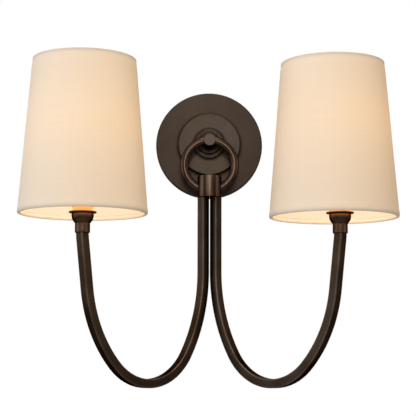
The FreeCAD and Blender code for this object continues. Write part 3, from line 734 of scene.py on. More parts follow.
@dataclass(frozen=True)
class LampGlass(Finish):
    """Frosted glass, lit from inside: palest level with the filament, warmer towards both ends.

    The level is the filament's height. The glow is whole within the core of it, and has changed to
    that of the ends at the reach.
    """

    colour: Colour = (0.32, 0.29, 0.24)
    glow: Colour = (1.0, 0.78, 0.50)
    glow_ends: Colour = (0.80, 0.42, 0.17)
    strength: float = 0.95
    level: float = 0.0
    core: float = 4.0
    reach: float = 27.0
    frost_scale: float = 2600.0
    frost_depth: float = 0.03
    rough_low: float = 0.3
    rough_high: float = 0.5

    def paint(self, sheet: NodeSheet) -> None:
        """Frost from fine noise over a pale body that glows by its height from the filament.

        Args:
            sheet: The material's nodes.
        """
        frost = sheet.noise(sheet.places(), self.frost_scale, detail=2.0)
        height = sheet.add("ShaderNodeSeparateXYZ", Vector=sheet.places()).outputs[2]
        off = sheet.math("ABSOLUTE", sheet.math("SUBTRACT", height, self.level * MM))
        near = sheet.ramp(off, 1.0, 0.0, (self.core * MM, self.reach * MM), how="SMOOTHSTEP")
        glow = sheet.blend(near, self.glow_ends, self.glow)
        sheet.set(Base_Color=self.colour, Emission_Color=glow, Emission_Strength=self.strength)
        sheet.set(Roughness=sheet.ramp(frost, self.rough_low, self.rough_high, NOISE_CORE))
        sheet.bump(frost, self.frost_depth * MM, strength=0.4)


@dataclass(frozen=True)
class ShadeLinen(Finish):
    """Off-white linen with the bulb behind it: plain weave, slubs and a glow.

    The bulb is the filament's place, the length is the cloth's run from edge to edge, and the edge is
    the width of a rolled edge. The glow is that of one layer, so it is weaker in a rolled edge, and
    where the cloth is tucked inside it is the bulb's own light on the cloth.
    """

    bulb: Point = (0.0, 0.0, 0.0)
    length: float = 157.0
    edge: float = 2.6
    cloth: Colour = (0.708, 0.655, 0.580)
    thread: Colour = (0.688, 0.632, 0.552)
    thread_stops: Stops = (0.38, 0.62)
    # Painted shade: the cloth darkens towards the crease of each rolled edge.
    fold: Colour = (0.30, 0.26, 0.22)
    fold_cloth: float = 0.78
    glow: Colour = (1.0, 0.49, 0.08)
    glow_far: float = 0.124
    glow_near: float = 0.142
    glow_double: float = 0.45
    double_stops: Stops = (0.4, 1.6)
    glow_thin: float = 1.03
    glow_thick: float = 0.97
    thick_stops: Stops = (0.36, 0.64)
    inside: Colour = (0.88, 0.67, 0.58)
    glow_inside: float = 0.22
    tucked_stops: Stops = (-1.6, -0.5)
    reach: float = 58.0
    pitch: float = 0.5
    warp_scale: Point = (1100.0, 9.0, 1.0)
    weft_scale: Point = (16.0, 1300.0, 1.0)
    warp_share: float = 0.45
    weft_share: float = 0.55
    weave_share: float = 0.3
    relief: float = 0.09

    def paint(self, sheet: NodeSheet) -> None:
        """Colour, relief and glow of the cloth.

        The first part of the cloth's place runs round the shade, and the second from its bottom edge
        to its top edge. The way inward from the nearer edge is negative where the cloth is tucked in.

        Args:
            sheet: The material's nodes.
        """
        split = sheet.add("ShaderNodeSeparateXYZ", Vector=sheet.places(cloth=True))
        weave = self.weave(sheet, split.outputs[0], split.outputs[1])
        slub = self.slubs(sheet)
        from_top = sheet.math("SUBTRACT", self.length * MM, split.outputs[1])
        inward = sheet.math("MINIMUM", split.outputs[1], from_top)
        colour = sheet.blend(sheet.ramp(slub, 0.0, 1.0, self.thread_stops), self.cloth, self.thread)
        # Painted shade: the base colour darkens towards the crease of each rolled edge.
        fold = sheet.ramp(inward, self.fold_cloth, 1.0, (0.0, self.edge * MM), how="SMOOTHSTEP")
        sheet.set(Base_Color=sheet.blend(fold, self.fold, colour), Roughness=0.92)
        sheet.set(Sheen_Weight=0.1, Sheen_Roughness=0.5, Specular_IOR_Level=0.1)
        through = self.through(sheet, slub, inward)
        tucked = sheet.ramp(inward, 1.0, 0.0, self.by_edge(self.tucked_stops))
        strength = sheet.math("ADD", through, sheet.math("MULTIPLY", tucked, self.glow_inside))
        sheet.set(Emission_Color=sheet.blend(tucked, self.glow, self.inside))
        sheet.set(Emission_Strength=strength)
        height = sheet.math("ADD", sheet.math("MULTIPLY", weave, self.weave_share), slub)
        sheet.bump(height, self.relief * MM, strength=0.12)

    def by_edge(self, shares: Stops) -> Stops:
        """Shares of a rolled edge's width as lengths in metres."""
        return shares[0] * self.edge * MM, shares[1] * self.edge * MM

    def weave(self, sheet: NodeSheet, round_shade: Socket, along: Socket) -> Socket:
        """Plain weave: the larger of two sine waves at right angles, of the thread's pitch.

        Args:
            sheet: The material's nodes.
            round_shade: The place round the shade.
            along: The place from edge to edge.

        Returns:
            The height of the weave.
        """
        turns = FULL_TURN / (self.pitch * MM)
        warp = sheet.math("SINE", sheet.math("MULTIPLY", round_shade, turns))
        weft = sheet.math("SINE", sheet.math("MULTIPLY", along, turns))
        return sheet.math("MAXIMUM", warp, weft)

    def slubs(self, sheet: NodeSheet) -> Socket:
        """Slubs: noise drawn out along the warp and along the weft, added by their shares.

        Args:
            sheet: The material's nodes.

        Returns:
            The thickness of the threads, between 0 and 1.
        """
        upright = sheet.noise(sheet.places(self.warp_scale, cloth=True), 1.0, detail=3.0)
        level = sheet.noise(sheet.places(self.weft_scale, cloth=True), 1.0, detail=3.0)
        upright = sheet.math("MULTIPLY", upright, self.warp_share)
        return sheet.math("ADD", upright, sheet.math("MULTIPLY", level, self.weft_share))

    def through(self, sheet: NodeSheet, slub: Socket, inward: Socket) -> Socket:
        """Light that comes through the cloth.

        It is far + near * (reach squared / distance squared) to the power 1.5, which is the light that
        a wall at that reach gets from the bulb, and less in the rolled edges and in thick threads.

        Args:
            sheet: The material's nodes.
            slub: The thickness of the threads.
            inward: The way inward from the nearer edge.

        Returns:
            The strength of the light.
        """
        away = sheet.add("ShaderNodeVectorMath", {"operation": "SUBTRACT"})
        sheet.feed(away.inputs[0], sheet.places())
        sheet.feed(away.inputs[1], tuple(part * MM for part in self.bulb))
        square = sheet.add("ShaderNodeVectorMath", {"operation": "DOT_PRODUCT"})
        sheet.feed(square.inputs[0], away.outputs[0])
        sheet.feed(square.inputs[1], away.outputs[0])
        near = sheet.math("DIVIDE", (self.reach * MM) ** 2, square.outputs["Value"])
        light = sheet.math("MULTIPLY", sheet.math("POWER", near, 1.5), self.glow_near)
        light = sheet.math("ADD", light, self.glow_far)
        single = sheet.ramp(inward, self.glow_double, 1.0, self.by_edge(self.double_stops))
        light = sheet.math("MULTIPLY", light, single)
        thickness = sheet.ramp(slub, self.glow_thin, self.glow_thick, self.thick_stops)
        return sheet.math("MULTIPLY", light, thickness)


@dataclass(frozen=True)
class LinerFilm(Finish):
    """The stiff white film inside the shade, lit by the bulb."""

    colour: Colour = (0.86, 0.77, 0.66)
    mottle: float = 0.05
    mottle_scale: float = 120.0
    glow: Colour = (0.94, 0.87, 0.63)
    strength: float = 0.36

    def paint(self, sheet: NodeSheet) -> None:
        """A faint mottle, and a steady glow from the light that the film scatters.

        Args:
            sheet: The material's nodes.
        """
        noise = sheet.noise(sheet.places(), self.mottle_scale, detail=3.0)
        darker = tuple(part * (1.0 - self.mottle) for part in self.colour)
        sheet.set(Base_Color=sheet.blend(noise, self.colour, darker), Roughness=0.6)
        sheet.set(Emission_Color=self.glow, Emission_Strength=self.strength, Specular_IOR_Level=0.3)


# The paler edges of BRONZE and BAR_BRONZE are bronze rubbed bright and a painted highlight. Each spun
# or turned piece darkens in a ring round the piece that stands on it: oxide, and painted shade. The
# disc and the post are paler than the plate, painted lighter for the light that the middle of the stack
# catches, and the post's wide dark ring is painted shade on its neck and stem under the knob.
BRONZE = RubbedBronze("rubbed_bronze", "bronze")
BAR_BRONZE = RubbedBar("rubbed_bar_bronze", "bronze")
PLATE_BRONZE = SpunBronze("spun_plate_bronze", "bronze")
DISC_BRONZE = SpunBronze(
    "spun_disc_bronze",
    "bronze",
    dark=(0.033, 0.0245, 0.0185),
    pale=(0.0435, 0.0345, 0.0300),
    recess=17.0,
    corner=4.0,
)
BOSS_BRONZE = SpunBronze("turned_boss_bronze", "bronze", recess=11.9, corner=3.4)
POST_BRONZE = SpunBronze(
    "turned_post_bronze",
    "bronze",
    dark=(0.0384, 0.0284, 0.0233),
    pale=(0.0508, 0.0405, 0.0375),
    recess=6.95,
    corner=9.0,
)
ZINC = PlatedSteel("zinc_plate", "zinc_steel")
WIRE_PLATE = PlatedSteel(
    "plated_frame_wire",
    "frame_wire",
    colour=(0.66, 0.64, 0.58),
    tint=(0.72, 0.66, 0.5),
    roughness=0.3,
)
BRASS = LampBrass("lamp_brass", "brass")
GREEN = Enamel("green_ground_paint", "ground_green", colour=(0.03, 0.22, 0.07), roughness=0.4)
INSULATION = Enamel(
    "wire_insulation",
    "wire_insulation",
    colour=(0.025, 0.025, 0.025),
    roughness=0.35,
)
PHENOLIC = Enamel("socket_phenolic", "socket_phenolic", colour=(0.03, 0.027, 0.025), roughness=0.5)
BLACK_GLASS = Enamel("black_glass", "bulb_insulator", colour=(0.02, 0.02, 0.02), roughness=0.15)
# The sleeve's glow is painted light from the bulb through the plastic, and its amber colour is partly
# that light too.
IVORY = Enamel(
    "ivory_sleeve",
    "candle_sleeve",
    colour=(0.35, 0.205, 0.07),
    roughness=0.42,
    mottle=0.06,
    grain=260.0,
    glow=(0.125, 0.058, 0.016),
)
FILAMENT = Enamel(
    "lamp_stem_glass",
    "bulb_filament",
    colour=(0.9, 0.85, 0.75),
    roughness=0.2,
    mottle=0.05,
    glow=(1.0, 0.8, 0.5),
)
LINER = LinerFilm("liner_film", "shade_liner")


# ---------------------------------------------------------------- pieces


def dress(piece: bpy.types.Object, finish: Finish, body: str, *nodes: str) -> None:
    """Give a new piece its finish and its body, and let it stand for CAD nodes.

    Args:
        piece: The new piece.
        finish: Its finish.
        body: The CAD body that carries it.
        *nodes: The CAD nodes that it stands for.
    """
    piece.data.materials.append(finish.material())
    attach(piece, body)
    if nodes:
        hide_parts(*nodes)
    LOG.info("%s rides on %s, %s", piece.name, body, finish.name)


def dress_node(frame: dict, name: str, finish: Finish) -> None:
    """Give a CAD node that stays in view its finish.

    Args:
        frame: The loaded frame.
        name: The node's name.
        finish: Its finish.
    """
    mesh = frame["nodes"][name].data
    mesh.materials.clear()
    mesh.materials.append(finish.material())
    LOG.info("%s stays, %s", name, finish.name)


def node_place(name: str) -> tuple[float, float, float, float]:
    """Where a CAD node stands.

    Args:
        name: The node's name.

    Returns:
        Its middle x, middle y, lowest z and highest z, in millimetres.
    """
    low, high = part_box(name)
    return (
        (low[0] + high[0]) / 2 / MM,
        (low[1] + high[1]) / 2 / MM,
        low[2] / MM,
        high[2] / MM,
    )


def half_width(name: str) -> float:
    """Half of a CAD node's extent along X, in millimetres."""
    low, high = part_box(name)
    return (high[0] - low[0]) / 2 / MM


@dataclass
class WallStack:
    """The backplate, the smaller disc and the boss, and the steel parts behind them."""

    body: str = "fixture"
    hole: float = 4.95
    plate_radius: float = 60.325
    plate_depth: float = 9.9
    plate_wall: float = 1.6
    plate_edge: float = 1.2
    disc_radius: float = 34.7
    disc_depth: float = 8.0
    disc_edge: float = 0.8
    rim_fillet: float = 0.25
    inner_loss: float = 0.4
    inner_least: float = 0.3
    boss_radius: float = 17.0
    boss_depth: float = 2.6
    boss_edge: float = 1.6

    def dish(self, radius: float, depth: float, edge: float) -> Patch:
        """A spun dish, open behind: its outline turned about its axis.

        Args:
            radius: Its outside radius.
            depth: Its depth from the back rim to the front face.
            edge: Fillet of its front edge.

        Returns:
            The dish, with its back rim at height 0.
        """
        inside, back = radius - self.plate_wall, depth - self.plate_wall
        corners = [
            (self.hole, back),
            (inside, back, max(edge - self.inner_loss, self.inner_least)),
            (inside, 0.0, self.rim_fillet),
            (radius, 0.0, self.rim_fillet),
            (radius, depth, edge),
            (self.hole, depth),
        ]
        return turned(rounded_outline(corners), Turns.PLATE)

    def build(self, frame: dict) -> None:
        """Make the spun pieces and finish the steel ones.

        Args:
            frame: The loaded frame.
        """
        dish = self.dish(self.plate_radius, self.plate_depth, self.plate_edge)
        plate = moved([dish], (0, 0, 0), Axis.OUT_OF_WALL)
        dress(mesh_piece("spun_backplate", plate), PLATE_BRONZE, self.body, "backplate")
        start = self.plate_depth
        dish = self.dish(self.disc_radius, self.disc_depth, self.disc_edge)
        disc = moved([dish], (0, -start, 0), Axis.OUT_OF_WALL)
        dress(mesh_piece("spun_disc", disc), DISC_BRONZE, self.body, "raised_disc")
        start += self.disc_depth
        corners = [
            (self.hole, 0.0),
            (self.boss_radius, 0.0),
            (self.boss_radius, self.boss_depth, self.boss_edge),
            (self.hole, self.boss_depth),
        ]
        boss = turned(rounded_outline(corners), Turns.BOSS)
        boss = moved([boss], (0, -start, 0), Axis.OUT_OF_WALL)
        dress(mesh_piece("turned_boss", boss), BOSS_BRONZE, self.body, "boss")
        for name in ("mounting_crossbar", "threaded_nipple", "lock_washer", "nipple_nut"):
            dress_node(frame, name, ZINC)
        dress_node(frame, "ground_screw", GREEN)


@dataclass
class RingHanger:
    """The post, the ring through it and the collar that the ring's ends enter."""

    body: str = "fixture"
    post_start: float = 20.5
    neck_radius: float = 11.9
    neck_depth: float = 3.1
    neck_edge: float = 1.0
    neck_fillet: float = 0.35
    stem_radius: float = 6.95
    post_length: float = 27.7
    post_chamfer: float = 0.6
    post_fillet: float = 0.2
    hole: float = 4.95
    hole_depth: float = 9.0
    standoff: float = 40.3
    ring_radius: float = 28.0
    ring_drop: float = 27.4
    tube_radius: float = 4.55
    ring_end: float = 8.85
    ring_steps: int = 180
    ring_sides: int = 40
    collar_radius: float = 13.25
    collar_wall: float = 2.2
    collar_height: float = 23.7
    collar_drop: float = 39.8
    collar_edge: float = 0.8
    collar_fillet: float = 0.3

    def post(self) -> list[Patch]:
        """The turned post: a neck and a stem, with the nipple's hole in its back end.

        Returns:
            The post in its place.
        """
        corners = [
            (self.hole, 0.0),
            (self.neck_radius, 0.0),
            (self.neck_radius, self.neck_depth, self.neck_edge),
            (self.stem_radius, self.neck_depth, self.neck_fillet),
            (self.stem_radius, self.post_length - self.post_chamfer, self.post_fillet),
            (self.stem_radius - self.post_chamfer, self.post_length, self.post_fillet),
            (0.0, self.post_length),
            (0.0, self.hole_depth),
            (self.hole, self.hole_depth),
        ]
        post = turned(rounded_outline(corners), Turns.CUP)
        return moved([post], (0, -self.post_start, 0), Axis.OUT_OF_WALL)

    def ring(self) -> list[Patch]:
        """The bent tube: a circle of the tube's radius carried round the ring's centreline.

        The centreline is x = R cos a, z = R sin a, open below where the two ends enter the collar.

        Returns:
            The ring in its place.
        """
        gap = math.asin(self.ring_end / self.ring_radius)
        angle = np.linspace(gap, FULL_TURN - gap, self.ring_steps + 1) - math.pi / 2
        zero = np.zeros_like(angle)
        path = self.ring_radius * np.stack([np.cos(angle), zero, np.sin(angle)], axis=-1)
        tube = wire_patches(path, self.tube_radius, np.array([0.0, 1.0, 0.0]), self.ring_sides)
        return moved(tube, (0, -self.standoff, -self.ring_drop))

    def collar(self) -> list[Patch]:
        """The turned cap round the ring's ends, open below.

        Returns:
            The collar in its place.
        """
        top, inside = self.collar_height, self.collar_radius - self.collar_wall
        corners = [
            (inside, 0.0),
            (self.collar_radius, 0.0, self.collar_fillet),
            (self.collar_radius, top, self.collar_edge),
            (0.0, top),
            (0.0, top - self.collar_wall),
            (inside, top - self.collar_wall),
        ]
        collar = turned(rounded_outline(corners), Turns.BOSS)
        return moved([collar], (0, -self.standoff, -self.collar_drop - top))

    def build(self, frame: dict) -> None:
        """Make the three pieces and finish the plug.

        Args:
            frame: The loaded frame.
        """
        dress(mesh_piece("turned_post", self.post()), POST_BRONZE, self.body, "post")
        dress(mesh_piece("bent_ring", self.ring()), BRONZE, self.body, "ring")
        dress(mesh_piece("turned_collar", self.collar()), BRONZE, self.body, "collar")
        dress_node(frame, "collar_plug", BRONZE)


@dataclass
class SquareArm:
    """One arm: a square bar bent into a U in an upright plane.

    The shoulder and the bottom are arcs, each with its radius and its sweep in degrees. The turn is
    the angle between the arm's plane and the wall, and the lean is that of the rising run.
    """

    side: Side
    body: str = "fixture"
    bar: float = 9.525
    corner: float = 0.75
    leg_offset: float = 6.85
    standoff: float = 40.3
    top: float = -63.5
    turn: float = 45.0
    leg_straight: float = 82.6
    shoulder: tuple[float, float] = (165.7, 32.9)
    bottom: tuple[float, float] = (65.9, 101.4)
    rise_radius: float = 130.0
    lean: float = 7.5
    rise_straight: float = 51.6
    tip_radius: float = 30.0
    tip_straight: float = 6.5
    straight_step: float = 6.0
    arc_step: float = 1.6

    def centreline(self) -> np.ndarray:
        """The bar's centreline, a chain of straight runs and arcs.

        An arc of radius R that turns the heading from h to h + a adds R (sin(h + t) - sin h) to the
        reach and R (cos h - cos(h + t)) to the height, with t from 0 to a. A heading of -90 degrees
        points down, and the whole bar turns by 180 degrees.

        Returns:
            The (reach, height) points, from the leg's top to the tip.
        """
        rise_turn = 180.0 - self.lean - self.shoulder[1] - self.bottom[1]
        runs = [
            (0.0, self.leg_straight),
            self.shoulder,
            self.bottom,
            (self.rise_radius, rise_turn),
            (0.0, self.rise_straight),
            (self.tip_radius, self.lean),
            (0.0, self.tip_straight),
        ]
        heading, spot, pieces = math.radians(-90.0), np.zeros(2), [np.zeros((1, 2))]
        for radius, amount in runs:
            if radius == 0.0:
                gone = np.linspace(0.0, amount, max(2, int(amount / self.straight_step)))[1:, None]
                points = spot + gone * np.array([math.cos(heading), math.sin(heading)])
            else:
                swept = math.radians(amount)
                steps = max(4, int(amount / self.arc_step))
                there = heading + np.linspace(0.0, swept, steps + 1)[1:]
                reach = radius * (np.sin(there) - math.sin(heading))
                height = radius * (math.cos(heading) - np.cos(there))
                points = spot + np.stack([reach, height], axis=-1)
                heading += swept
            spot = points[-1]
            pieces.append(points)
        return np.concatenate(pieces)

    def section(self) -> np.ndarray:
        """The bar's square section with rounded corners.

        Returns:
            The closed outline.
        """
        half = self.bar / 2.0
        corners = [(-half, -half), (half, -half), (half, half), (-half, half)]
        return rounded_outline([(*corner, self.corner) for corner in corners])

    def build(self, frame: dict) -> None:
        """Carry the section along the centreline in the arm's own plane.

        Args:
            frame: The loaded frame.
        """
        flat = self.centreline()
        sign, turn = self.side.value, math.radians(self.turn)
        way = np.array([math.cos(turn) * sign, -math.sin(turn), 0.0])
        start = np.array([self.leg_offset * sign, -self.standoff, self.top])
        path = start + flat[:, :1] * way + flat[:, 1:] * np.array([0.0, 0.0, 1.0])
        across, up = frames_along(path, np.array([math.sin(turn), math.cos(turn) * sign, 0.0]))
        bar = mesh_piece(f"{self.side.word}_square_arm", carried(self.section(), path, across, up))
        dress(bar, BAR_BRONZE, self.body, f"{self.side.word}_arm")
        dress_node(frame, f"{self.side.word}_wire", INSULATION)


@dataclass
class CandleLamp:
    """What stands on an arm's tip: ferrule, cup, candle sleeve and the socket inside it."""

    side: Side
    body: str = "fixture"
    ferrule_wall: float = 1.15
    ferrule_height: float = 9.5
    ferrule_edge: float = 0.55
    ferrule_fillet: float = 0.25
    foot_radius: float = 7.5
    bowl_radius: float = 10.9
    bowl_height: float = 10.3
    bowl_curve: float = 10.5
    bowl_points: int = 20
    lip_radius: float = 14.05
    lip_height: float = 1.6
    lip_flat: float = 0.02
    lip_fillet: float = 0.2
    seat_depth: float = 0.8
    stud_hole: float = 4.05
    wall: float = 1.2
    sleeve_radius: float = 11.15
    sleeve_wall: float = 1.4
    sleeve_gap: float = 0.05
    sleeve_fillet: float = 0.3
    sleeve_rim: float = 0.6

    def ferrule(self, radius: float) -> Patch:
        """The short round sleeve on the bar's tip.

        Args:
            radius: Its outside radius.

        Returns:
            The ferrule, with its foot at height 0.
        """
        bore = radius - self.ferrule_wall
        corners = [
            (bore, 0.0),
            (radius, 0.0, self.ferrule_edge),
            (radius, self.ferrule_height, self.ferrule_fillet),
            (bore, self.ferrule_height),
        ]
        return turned(rounded_outline(corners), Turns.CANDLE)

    def cup(self) -> Patch:
        """The spun cup: a round bowl under a thin rolled lip, in which the sleeve's seat is sunk.

        Returns:
            The cup, with its foot at height 0.
        """
        bowl = self.bowl_arc(self.foot_radius, self.bowl_radius, self.bowl_height, self.bowl_curve)
        lip_low, lip_high = self.bowl_height, self.bowl_height + self.lip_height
        edge = self.lip_height / 2.0 - self.lip_flat
        seat, bore = self.sleeve_radius + self.sleeve_gap, self.bowl_radius - self.wall
        lip = rounded_outline(
            [
                (self.bowl_radius, lip_low),
                (self.lip_radius, lip_low, edge),
                (self.lip_radius, lip_high, edge),
                (seat, lip_high, self.lip_fillet),
                (seat, lip_high - self.seat_depth),
                (bore, lip_high - self.seat_depth),
                (bore, lip_low),
            ],
            closed=False,
        )
        inner = self.bowl_arc(
            self.foot_radius - self.wall,
            self.bowl_radius - self.wall,
            self.bowl_height - self.wall,
            self.bowl_curve - self.wall,
        )[::-1]
        inner[:, 1] += self.wall
        end = np.array([[self.stud_hole, self.wall], [self.stud_hole, 0.0]])
        start = np.array([[self.foot_radius, 0.0]])
        outline = np.concatenate([end[1:], start, bowl[1:], lip[1:], inner, end])
        return turned(outline, Turns.CUP)

    def bowl_arc(self, low: float, high: float, height: float, curve: float) -> np.ndarray:
        """Arc of the bowl from (low, 0) to (high, height).

        Its centre lies on the axis side of the chord, at the height of the right triangle of the
        curve's radius and half the chord.

        Args:
            low: Radius at the foot.
            high: Radius at the lip.
            height: Height of the lip over the foot.
            curve: Radius of the arc.

        Returns:
            The (radius, height) points.
        """
        start, end = np.array([low, 0.0]), np.array([high, height])
        half = (end - start) / 2.0
        length = float(np.linalg.norm(half))
        normal = np.array([-half[1], half[0]]) / length
        centre = start + half + normal * math.sqrt(curve * curve - length * length)
        return arc_points(centre, start - centre, end - centre, self.bowl_points)

    def sleeve(self, height: float) -> Patch:
        """The plain tube over the socket, with softened rims.

        Args:
            height: Its height.

        Returns:
            The sleeve, with its foot at height 0.
        """
        inside = self.sleeve_radius - self.sleeve_wall
        corners = [
            (inside, 0.0, self.sleeve_fillet),
            (self.sleeve_radius, 0.0, self.sleeve_fillet),
            (self.sleeve_radius, height, self.sleeve_rim),
            (inside, height, self.sleeve_rim),
        ]
        return turned(rounded_outline(corners), Turns.CANDLE)

    def build(self, frame: dict) -> None:
        """Make the pieces that show and finish the ones inside.

        Args:
            frame: The loaded frame.
        """
        word = self.side.word
        x, y, low, _ = node_place(f"{word}_ferrule")
        ferrule = moved([self.ferrule(half_width(f"{word}_ferrule"))], (x, y, low))
        dress(mesh_piece(f"{word}_tip_ferrule", ferrule), BRONZE, self.body, f"{word}_ferrule")
        x, y, low, _ = node_place(f"{word}_cup")
        cup = moved([self.cup()], (x, y, low))
        dress(mesh_piece(f"{word}_spun_cup", cup), BRONZE, self.body, f"{word}_cup")
        x, y, low, high = node_place(f"{word}_candle_sleeve")
        sleeve = moved([self.sleeve(high - low)], (x, y, low))
        dress(mesh_piece(f"{word}_sleeve", sleeve), IVORY, self.body, f"{word}_candle_sleeve")
        for name in ("cup_stud", "cup_nut", "socket_bracket"):
            dress_node(frame, f"{word}_{name}", ZINC)
        for name in ("socket_shell", "socket_contact"):
            dress_node(frame, f"{word}_{name}", BRASS)
        dress_node(frame, f"{word}_socket_body", PHENOLIC)


@dataclass
class CandleBulb:
    """The screw bulb: threaded cap, black glass, contact and the frosted envelope."""

    side: Side
    cap_radius: float = 5.95
    cap_levels: int = 100
    cap_foot: float = 4.5
    cap_foot_levels: int = 8
    cap_rim: float = 1.0
    cap_recess: float = 1.5
    thread_pitch: float = 2.54
    thread_depth: float = 0.42
    thread_start: float = 2.0
    thread_end: float = 2.5
    thread_fade: float = 2.0
    neck_radius: float = 6.3
    neck_height: float = 4.5
    neck_fillet: float = 9.0
    widest_radius: float = 17.0
    middle_points: int = 24
    shoulder_angle: float = 25.0
    nose_angle: float = 18.0
    tip_fillet: float = 2.3
    tip_share: float = 0.9
    wall: float = 0.7

    @property
    def body(self) -> str:
        """The bulb's CAD body."""
        return f"{self.side.word}_bulb"

    def cap(self, height: float) -> Patch:
        """The rolled screw cap.

        Its radius waves with height and angle, r - depth (1 - cos(2 pi height / pitch - angle)) / 2, a
        right-hand helix that fades out at both ends.

        Args:
            height: Its height.

        Returns:
            The cap, with its foot at height 0.
        """
        heights = np.linspace(0.0, height, self.cap_levels)
        wide = np.full_like(heights, self.cap_radius)
        rim, floor = self.cap_radius - self.cap_rim, height - self.cap_recess
        low = np.array([[0.0, 0.0], [self.cap_foot, 0.0]])
        outside = np.stack([wide, heights], axis=-1)[self.cap_foot_levels :]
        inside = np.array([[rim, height], [rim, floor], [0.0, floor]])

        def thread(angles: np.ndarray, levels: np.ndarray) -> np.ndarray:
            """The rolled thread: a wave along the helix, times a fade at each end.

            Args:
                angles: Angle of each point.
                levels: Height of each point.

            Returns:
                The change of radius of each point.
            """
            wave = (1.0 - np.cos(FULL_TURN * levels / self.thread_pitch - angles)) / 2.0
            fade_in = np.clip((levels - self.thread_start) / self.thread_fade, 0.0, 1.0)
            fade_out = np.clip((height - self.thread_end - levels) / self.thread_fade, 0.0, 1.0)
            return -self.thread_depth * wave * (fade_in * fade_out)

        return turned(np.concatenate([low, outside, inside]), Turns.CANDLE, thread)

    def envelope(self, height: float) -> Patch:
        """The frosted glass: a neck, a shoulder, a round middle and a long nose.

        The shoulder and the nose are straight lines tangent to the middle's circle, softened here
        by wide fillets where they leave the neck and reach the tip.

        Args:
            height: Its height.

        Returns:
            The glass, with its foot at height 0.
        """
        shoulder, nose = math.radians(self.shoulder_angle), math.radians(self.nose_angle)
        wide, neck = self.widest_radius, self.neck_radius
        reach = wide * math.cos(shoulder) - neck
        middle = self.neck_height + wide * math.sin(shoulder) + reach / math.tan(shoulder)
        low = (wide * math.cos(shoulder), middle - wide * math.sin(shoulder))
        high = (wide * math.cos(nose), middle + wide * math.sin(nose))
        tip = high[0] - (height - high[1]) * math.tan(nose)
        foot = [(neck - self.wall, 0.0), (neck, 0.0), (neck, self.neck_height, self.neck_fillet)]
        lower = rounded_outline([*foot, low], closed=False)
        centre = np.array([0.0, middle])
        low_spoke, high_spoke = np.array(low) - centre, np.array(high) - centre
        round_part = arc_points(centre, low_spoke, high_spoke, self.middle_points)
        tip_corner = (tip, height, min(self.tip_fillet, tip * self.tip_share))
        upper = rounded_outline([high, tip_corner, (0.0, height)], closed=False)
        outline = np.concatenate([[[0.0, 0.0]], lower[:-1], round_part, upper[1:]])
        return turned(outline, Turns.CANDLE)

    def build(self, frame: dict) -> None:
        """Make the cap and the glass, and finish the pieces at the foot.

        Args:
            frame: The loaded frame.
        """
        word = self.side.word
        x, y, low, high = node_place(f"{word}_bulb_cap")
        cap = moved([self.cap(high - low)], (x, y, low))
        dress(mesh_piece(f"{word}_screw_cap", cap), BRASS, self.body, f"{word}_bulb_cap")
        x, y, low, high = node_place(f"{word}_bulb_glass")
        glass = moved([self.envelope(high - low)], (x, y, low))
        # Both bulbs share the glass of the first, which stands 3 mm higher than the other.
        frosted = LampGlass("lamp_glass", "bulb_glass", level=low + FILAMENT_RISE)
        dress(mesh_piece(f"{word}_frosted_glass", glass), frosted, self.body, f"{word}_bulb_glass")
        dress_node(frame, f"{word}_bulb_stem", FILAMENT)
        dress_node(frame, f"{word}_bulb_contact", BRASS)
        dress_node(frame, f"{word}_bulb_insulator", BLACK_GLASS)


